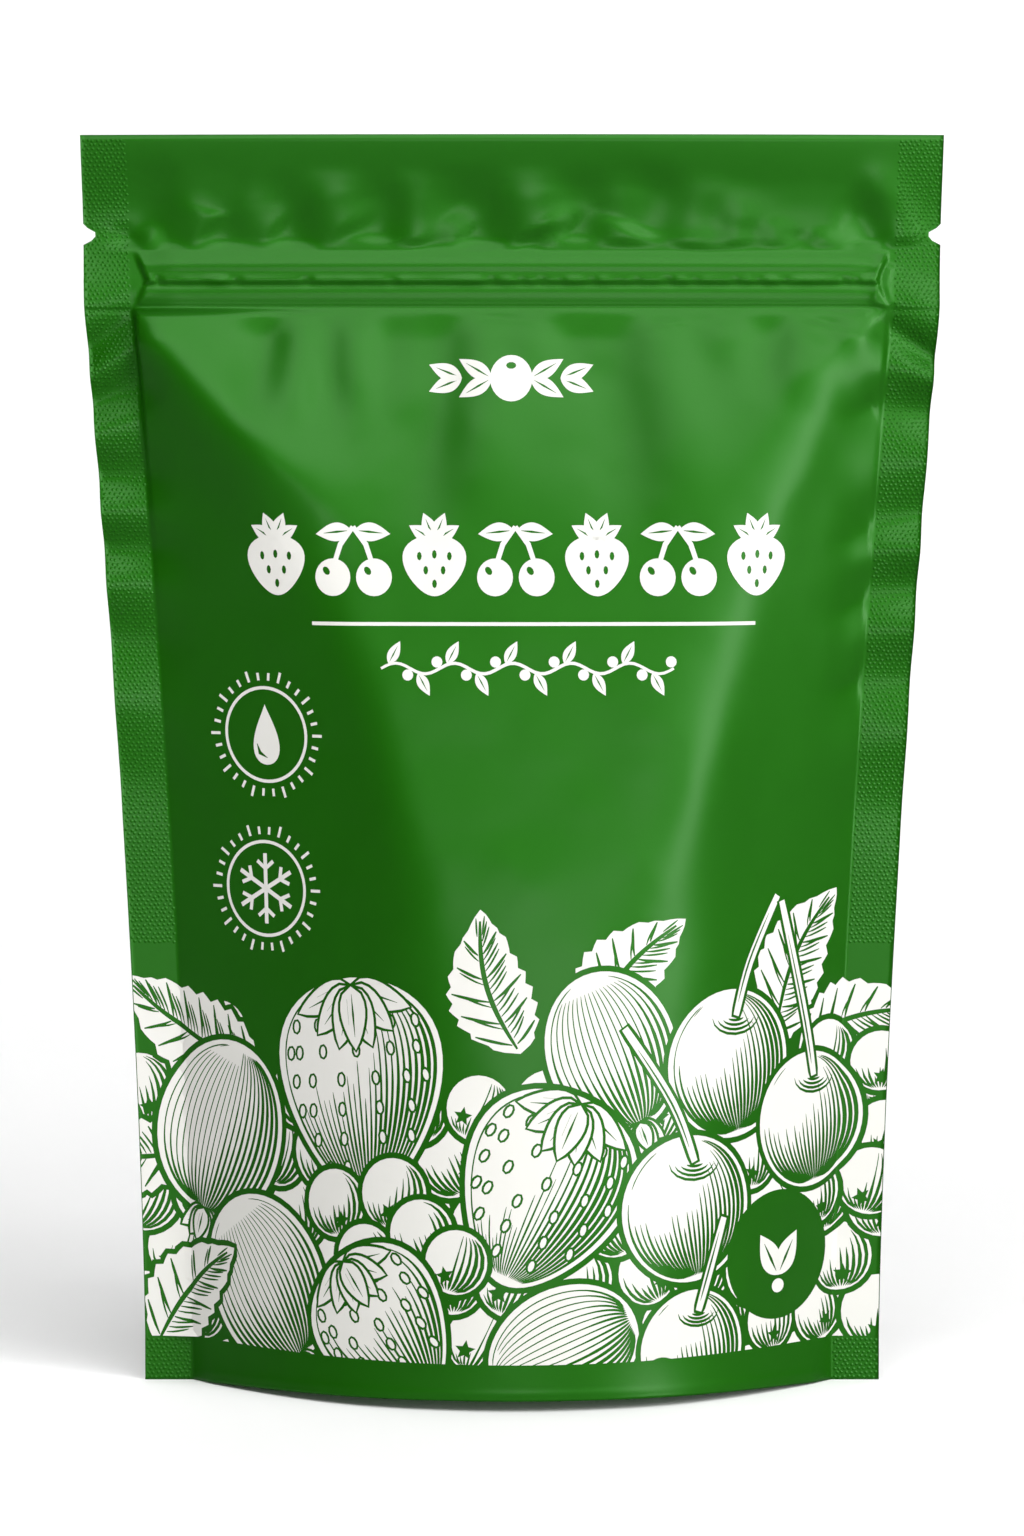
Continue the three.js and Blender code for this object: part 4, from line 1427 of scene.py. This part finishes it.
# %% [markdown]
# ## The marks above the fruit
#
# Higher up the pouch carries small flat marks: a sprig, a row of fruit over a rule, a
# vine, two roundels, and a pair of leaves on the green disc. Curves with a width would
# draw them, and so would a font of ornaments. Here they are outlines like the fruit, so
# that the same function turns both into ink.

# %% Simple shapes for the marks
MARK_STEP = 1.2


def ring(centre, radius, width):
    """A round line."""
    hole = oval(centre, radius - width, radius - width, 0, 52)
    return motif(oval(centre, radius, radius, 0, 56), [hole])


def plain_leaf(root, length, width, turn):
    """A solid leaf with its rib left open."""
    outline = plain_outline(length, width, 15, 0.8)
    rib = [(length * share, 0) for share in (0.1, 0.4, 0.78)]
    return motif(turned(outline, root, turn), [line(turned(rib, root, turn), width * 0.13)])


def straight(a, b, width):
    """A straight stroke. It has points all along, so that it can follow the bent film."""
    a, b = np.asarray(a, float), np.asarray(b, float)
    length = math.hypot(*(b - a))
    path = a + (b - a) * np.linspace(0, 1, max(2, math.ceil(length / MARK_STEP) + 1))[:, None]
    off = beside(path) * width / 2
    return motif(np.concatenate([path - off, (path + off)[::-1]]))


print("a rule 20 mm long has", len(straight((0, 0), (20, 0), 1)["outline"]), "points")

# %% The sprig: one round fruit with leaves on both sides
SPRIG_Z = 173.8
SPRIG_LEAVES = ((3.4, 6.6, 30), (3.4, 6.6, -30), (8.6, 6.2, 22), (8.6, 6.2, -22))
marks = []
for side in (-1, 1):
    for at, length, turn in SPRIG_LEAVES:
        way = turn if side > 0 else 180 - turn
        marks.append(plain_leaf((side * at, SPRIG_Z), length, 2.9, way))
sprig_eye = oval((0, SPRIG_Z + 2.2), 0.9, 0.6, 0, 10)
marks.append(motif(oval((0, SPRIG_Z), 3.7, 4.0, 0, 32), [sprig_eye]))
print("the sprig has", len(marks), "shapes")

# %% The row of fruit, as solid shapes, and the rule under it
ROW_Z = 142.8
ROW_ENDS = (-41.8, 42.6)
ROW_FRUITS = 7
ROW_SEEDS = ((-2.6, 0.6), (0, 0.9), (2.6, 0.6), (-1.5, -1.8), (1.5, -1.8), (0, -4.1))
RULE_Z = 131.9
RULE_ENDS = (-35.4, 42.5)


def solid_strawberry(x):
    """A solid strawberry of the row, with its seeds open and four sepals."""
    seeds = [oval((x + dx, ROW_Z + dz), 0.42, 0.75, 0, 8) for dx, dz in ROW_SEEDS]
    made = [motif(heart_outline(5.3, 5.2, 40) + (x, ROW_Z - 1.0), seeds)]
    made += [plain_leaf((x, ROW_Z + 3.3), 5.0, 2.6, way) for way in (150, 30, 112, 68)]
    return made


def solid_cherries(x):
    """Two solid cherries of the row on one pair of leaves."""
    made = []
    for side in (-1, 1):
        made.append(plain_leaf((x + side * 0.3, ROW_Z + 5.0), 6.2, 3.2, 90 - side * 96))
        stem = [(x, ROW_Z + 5.6), (x + side * 2.2, ROW_Z + 2.6), (x + side * 3.4, ROW_Z - 1.0)]
        made.append(motif(line(stem, 0.9, 0.9)))
        middle = x + side * 3.6
        shine = oval((middle - 1.1, ROW_Z - 1.9), 0.55, 0.8, 35, 10)
        made.append(motif(oval((middle, ROW_Z - 3.0), 3.1, 3.2, 0, 28), [shine]))
    return made


for k, x in enumerate(np.linspace(*ROW_ENDS, ROW_FRUITS)):
    marks += solid_cherries(x) if k % 2 else solid_strawberry(x)
marks.append(straight((RULE_ENDS[0], RULE_Z), (RULE_ENDS[1], RULE_Z), 0.62))
print("with the row and the rule:", len(marks), "shapes")

# %% The vine
VINE_Z = 124.4
VINE_START = -23.0
VINE_END = 27.5
VINE_WAVE = 5.05
VINE_FIRST_LEAF = -20.5
vine_x = np.linspace(VINE_START, VINE_END, 60)
vine_z = VINE_Z + 0.9 * np.sin((vine_x - VINE_START) / VINE_WAVE * math.pi)
marks.append(motif(line(np.stack([vine_x, vine_z], -1), 0.55, 0.8)))
for k, x in enumerate(np.arange(VINE_FIRST_LEAF, VINE_END, VINE_WAVE)):
    up = -1 if k % 2 else 1
    z = VINE_Z + 0.8 * up
    marks.append(plain_leaf((x - 1.2, z), 4.3, 2.0, up * 62))
    marks.append(motif(oval((x + 2.1, z - 1.9 * up), 0.95, 0.95, 0, 14)))
print("with the vine:", len(marks), "shapes")

# %% Two roundels: a drop, and a snowflake for the freeze-drying
DROP_CENTRE = (-45.8, 112.6)
FLAKE_CENTRE = (-47.0, 86.2)
RAYS = 30
RAY_START = 9.3
RAY_END = 10.6
LONG_RAY_END = 11.2     # of every third ray
FLAKE_REACH = 6
FLAKE_FORK = 3.4
FLAKE_TWIG = 2.1
TWIG_SPREAD = 0.9       # radians from the bar


def on_circle(centre, radius, way):
    """The place that lies that far from a centre, at an angle in radians."""
    return (centre[0] + radius * math.cos(way), centre[1] + radius * math.sin(way))


def roundel(centre):
    """A ring with rays round it."""
    made = [ring(centre, 8.3, 0.55)]
    for k in range(RAYS):
        way = math.radians(360 / RAYS * k)
        ray_end = on_circle(centre, RAY_END if k % 3 else LONG_RAY_END, way)
        made.append(straight(on_circle(centre, RAY_START, way), ray_end, 0.5))
    return made


def water_drop(centre):
    """A drop with a shine left open in it."""
    t = full_turn(36)
    body = np.stack([3.7 * np.sin(t) * np.sin(t / 2) ** 1.4, 5.2 * np.cos(t)], -1)
    shine = line(np.array([(-1.9, -1.6), (-1.4, -3.2), (0.1, -4.0)]) + centre, 0.7)
    return [motif(body + centre, [shine])]


def snowflake(centre):
    """Three bars across each other, with two twigs near each end."""
    ways = [math.radians(30 + 60 * k) for k in range(6)]
    made = [straight(on_circle(centre, -FLAKE_REACH, way), on_circle(centre, FLAKE_REACH, way), 0.75)
            for way in ways[:3]]
    for way in ways:
        fork = on_circle(centre, FLAKE_FORK, way)
        for side in (-1, 1):
            made.append(straight(fork, on_circle(fork, FLAKE_TWIG, way + side * TWIG_SPREAD), 0.65))
    return made


marks += roundel(DROP_CENTRE) + water_drop(DROP_CENTRE)
marks += roundel(FLAKE_CENTRE) + snowflake(FLAKE_CENTRE)

# a pair of leaves on the green disc
disc_x, disc_z = DISC_CENTRE
marks += [plain_leaf((disc_x, disc_z - 3.6), 8.6, 4.6, way) for way in (58, 122)]
marks.append(motif(oval((disc_x, disc_z - 5.4), 1.5, 1.2, 0, 18)))
print(len(marks), "marks")

# %% [markdown]
# ## From the drawing to the ink
#
# Ink is a very thin closed layer that stands on the film. It could be cut out with
# Booleans, but with hundreds of overlapping shapes they are slow and often fail. Instead
# each shape is cut while it is still flat: a triangulation that keeps to given outlines
# says for every triangle which shapes it lies in, and only those in one shape alone are
# kept. Then all the corners are moved onto the bent film.

# %% Loops that cut a shape
FAR = 400.0


def counter_clockwise(p):
    """An outline, with its points in counter-clockwise order."""
    x, z = p[:, 0], p[:, 1]
    area = np.dot(x, np.roll(z, -1)) - np.dot(z, np.roll(x, -1))
    return p if area > 0 else p[::-1]


def grown(p, gap):
    """An outline moved outwards by a gap."""
    p = counter_clockwise(p)
    way = np.roll(p, -1, 0) - np.roll(p, 1, 0)
    out = np.stack([way[:, 1], -way[:, 0]], -1) / np.maximum(np.hypot(*way.T), 1e-9)[:, None]
    return p + out * gap


def boxed(loop):
    """A loop with the lowest and the highest corner of the box round it."""
    loop = np.asarray(loop, float)
    return loop, loop.min(0), loop.max(0)


# What lies below the print, and past the film's right and left edges
OFF_PRINT = [
    boxed([(-FAR, -FAR), (FAR, -FAR), (FAR, BAND_LOW), (-FAR, BAND_LOW)]),
    boxed([(HALF_PRINT, -FAR), (FAR, -FAR), (FAR, FAR), (HALF_PRINT, FAR)]),
    boxed([(-FAR, -FAR), (-HALF_PRINT, -FAR), (-HALF_PRINT, FAR), (-FAR, FAR)]),
]
print("the print starts", BAND_LOW, "mm up, and is", round(2 * HALF_PRINT, 1), "mm across")

# %% Cut the shapes and fill them with triangles
INK_STEP = 1.3          # between the points inside a shape, which let it follow the film
INSIDE_FACES = 1        # what the triangulation gives back: all that lies in some face
MERGE_MM = 1e-5


def filled(outline, cuts):
    """Flat triangles of an outline without its cuts, as points and corners."""
    (low_x, low_z), (high_x, high_z) = outline.min(0), outline.max(0)
    inner_x = np.arange(low_x + INK_STEP / 2, high_x, INK_STEP)
    inner_z = np.arange(low_z + INK_STEP / 2, high_z, INK_STEP)
    inner = np.array([(x, z) for x in inner_x for z in inner_z]).reshape(-1, 2)
    faces = []
    start = 0
    for loop in (outline, *cuts):
        faces.append(list(range(start, start + len(loop))))
        start += len(loop)
    flat = np.concatenate([outline, *cuts, inner])
    found = delaunay_2d_cdt([Vector(p) for p in flat.tolist()], [], faces, INSIDE_FACES, MERGE_MM)
    # found[5] lists the faces that each triangle lies in. Face 0 is the outline.
    kept = [f for f, lies_in in zip(found[2], found[5]) if lies_in == [0] and len(f) == 3]
    return found[0], kept


def ink_triangles(shapes, overlapping):
    """The inked triangles of all the shapes, as flat points and corners. Overlapping
    shapes are cut by the later ones, with a gap."""
    points = []
    corners = []
    later = [boxed(grown(shape["outline"], shape["gap"])) for shape in shapes]
    for i, shape in enumerate(shapes):
        outline = counter_clockwise(shape["outline"])
        low, high = outline.min(0), outline.max(0)
        if shape["bare"] or high[1] < BAND_LOW or low[0] > HALF_PRINT or high[0] < -HALF_PRINT:
            continue
        cuts = [boxed(counter_clockwise(hole)) for hole in shape["holes"]]
        if overlapping:
            cuts += later[i + 1:]
        near = [loop for loop, a, b in cuts + OFF_PRINT
                if a[0] < high[0] and b[0] > low[0] and a[1] < high[1] and b[1] > low[1]]
        flat, triangles = filled(outline, near)
        used = sorted({v for triangle in triangles for v in triangle})
        number = {v: len(points) + k for k, v in enumerate(used)}
        points += [tuple(flat[v]) for v in used]
        corners += [tuple(number[v] for v in triangle) for triangle in triangles]
    return np.array(points), np.array(corners)


heap_flat, heap_corners = ink_triangles(heap, overlapping=True)
mark_flat, mark_corners = ink_triangles(marks, overlapping=False)
print(len(heap_corners), "triangles of fruit and", len(mark_corners), "of marks")

# %% Lay the ink on the film
INK_LIFT = 0.07
INK_THICKNESS = 0.03


def ink_object(name, flat, corners, facing):
    """A closed, very thin layer of ink on the bent film. On the back the drawing is
    turned round, so that it reads the same way from behind."""
    u = flat[:, 0] * -facing
    top = film_points(u, flat[:, 1], facing, INK_LIFT)
    under = film_points(u, flat[:, 1], facing, INK_LIFT - INK_THICKNESS)
    count = len(flat)
    edges = np.concatenate([corners[:, [0, 1]], corners[:, [1, 2]], corners[:, [2, 0]]])
    seen = {(a, b) for a, b in edges.tolist()}
    rim = [(a, b) for a, b in seen if (b, a) not in seen]
    faces = [tuple(f) for f in corners.tolist()]
    faces += [(c + count, b + count, a + count) for a, b, c in corners.tolist()]
    faces += [(b, a, a + count, b + count) for a, b in sorted(rim)]
    return mesh_object(name, np.concatenate([top, under]), faces, smooth=False)


ink_pieces = [
    ink_object("print_fruit_front", heap_flat, heap_corners, -1),
    ink_object("print_fruit_back", heap_flat, heap_corners, 1),
    ink_object("print_marks", mark_flat, mark_corners, -1),
]
print([piece.name for piece in ink_pieces])

# %% Matt white ink
# What it gives the eye: an even, slightly warm white that mirrors nothing, so that the
# fruit stays readable where the film round it shines.
ink, tree = new_material("matt_white_ink")
shader = add_node(tree, "ShaderNodeBsdfPrincipled", inputs={
    "Base Color": linear("#cecdc8"), "Roughness": 0.55, "Specular IOR Level": 0.3,
})
add_node(tree, "ShaderNodeOutputMaterial", inputs={"Surface": shader.outputs["BSDF"]})
for piece in ink_pieces:
    piece.data.materials.append(ink)
    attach(piece, "root")
    print(piece.name, len(piece.data.polygons), "faces")
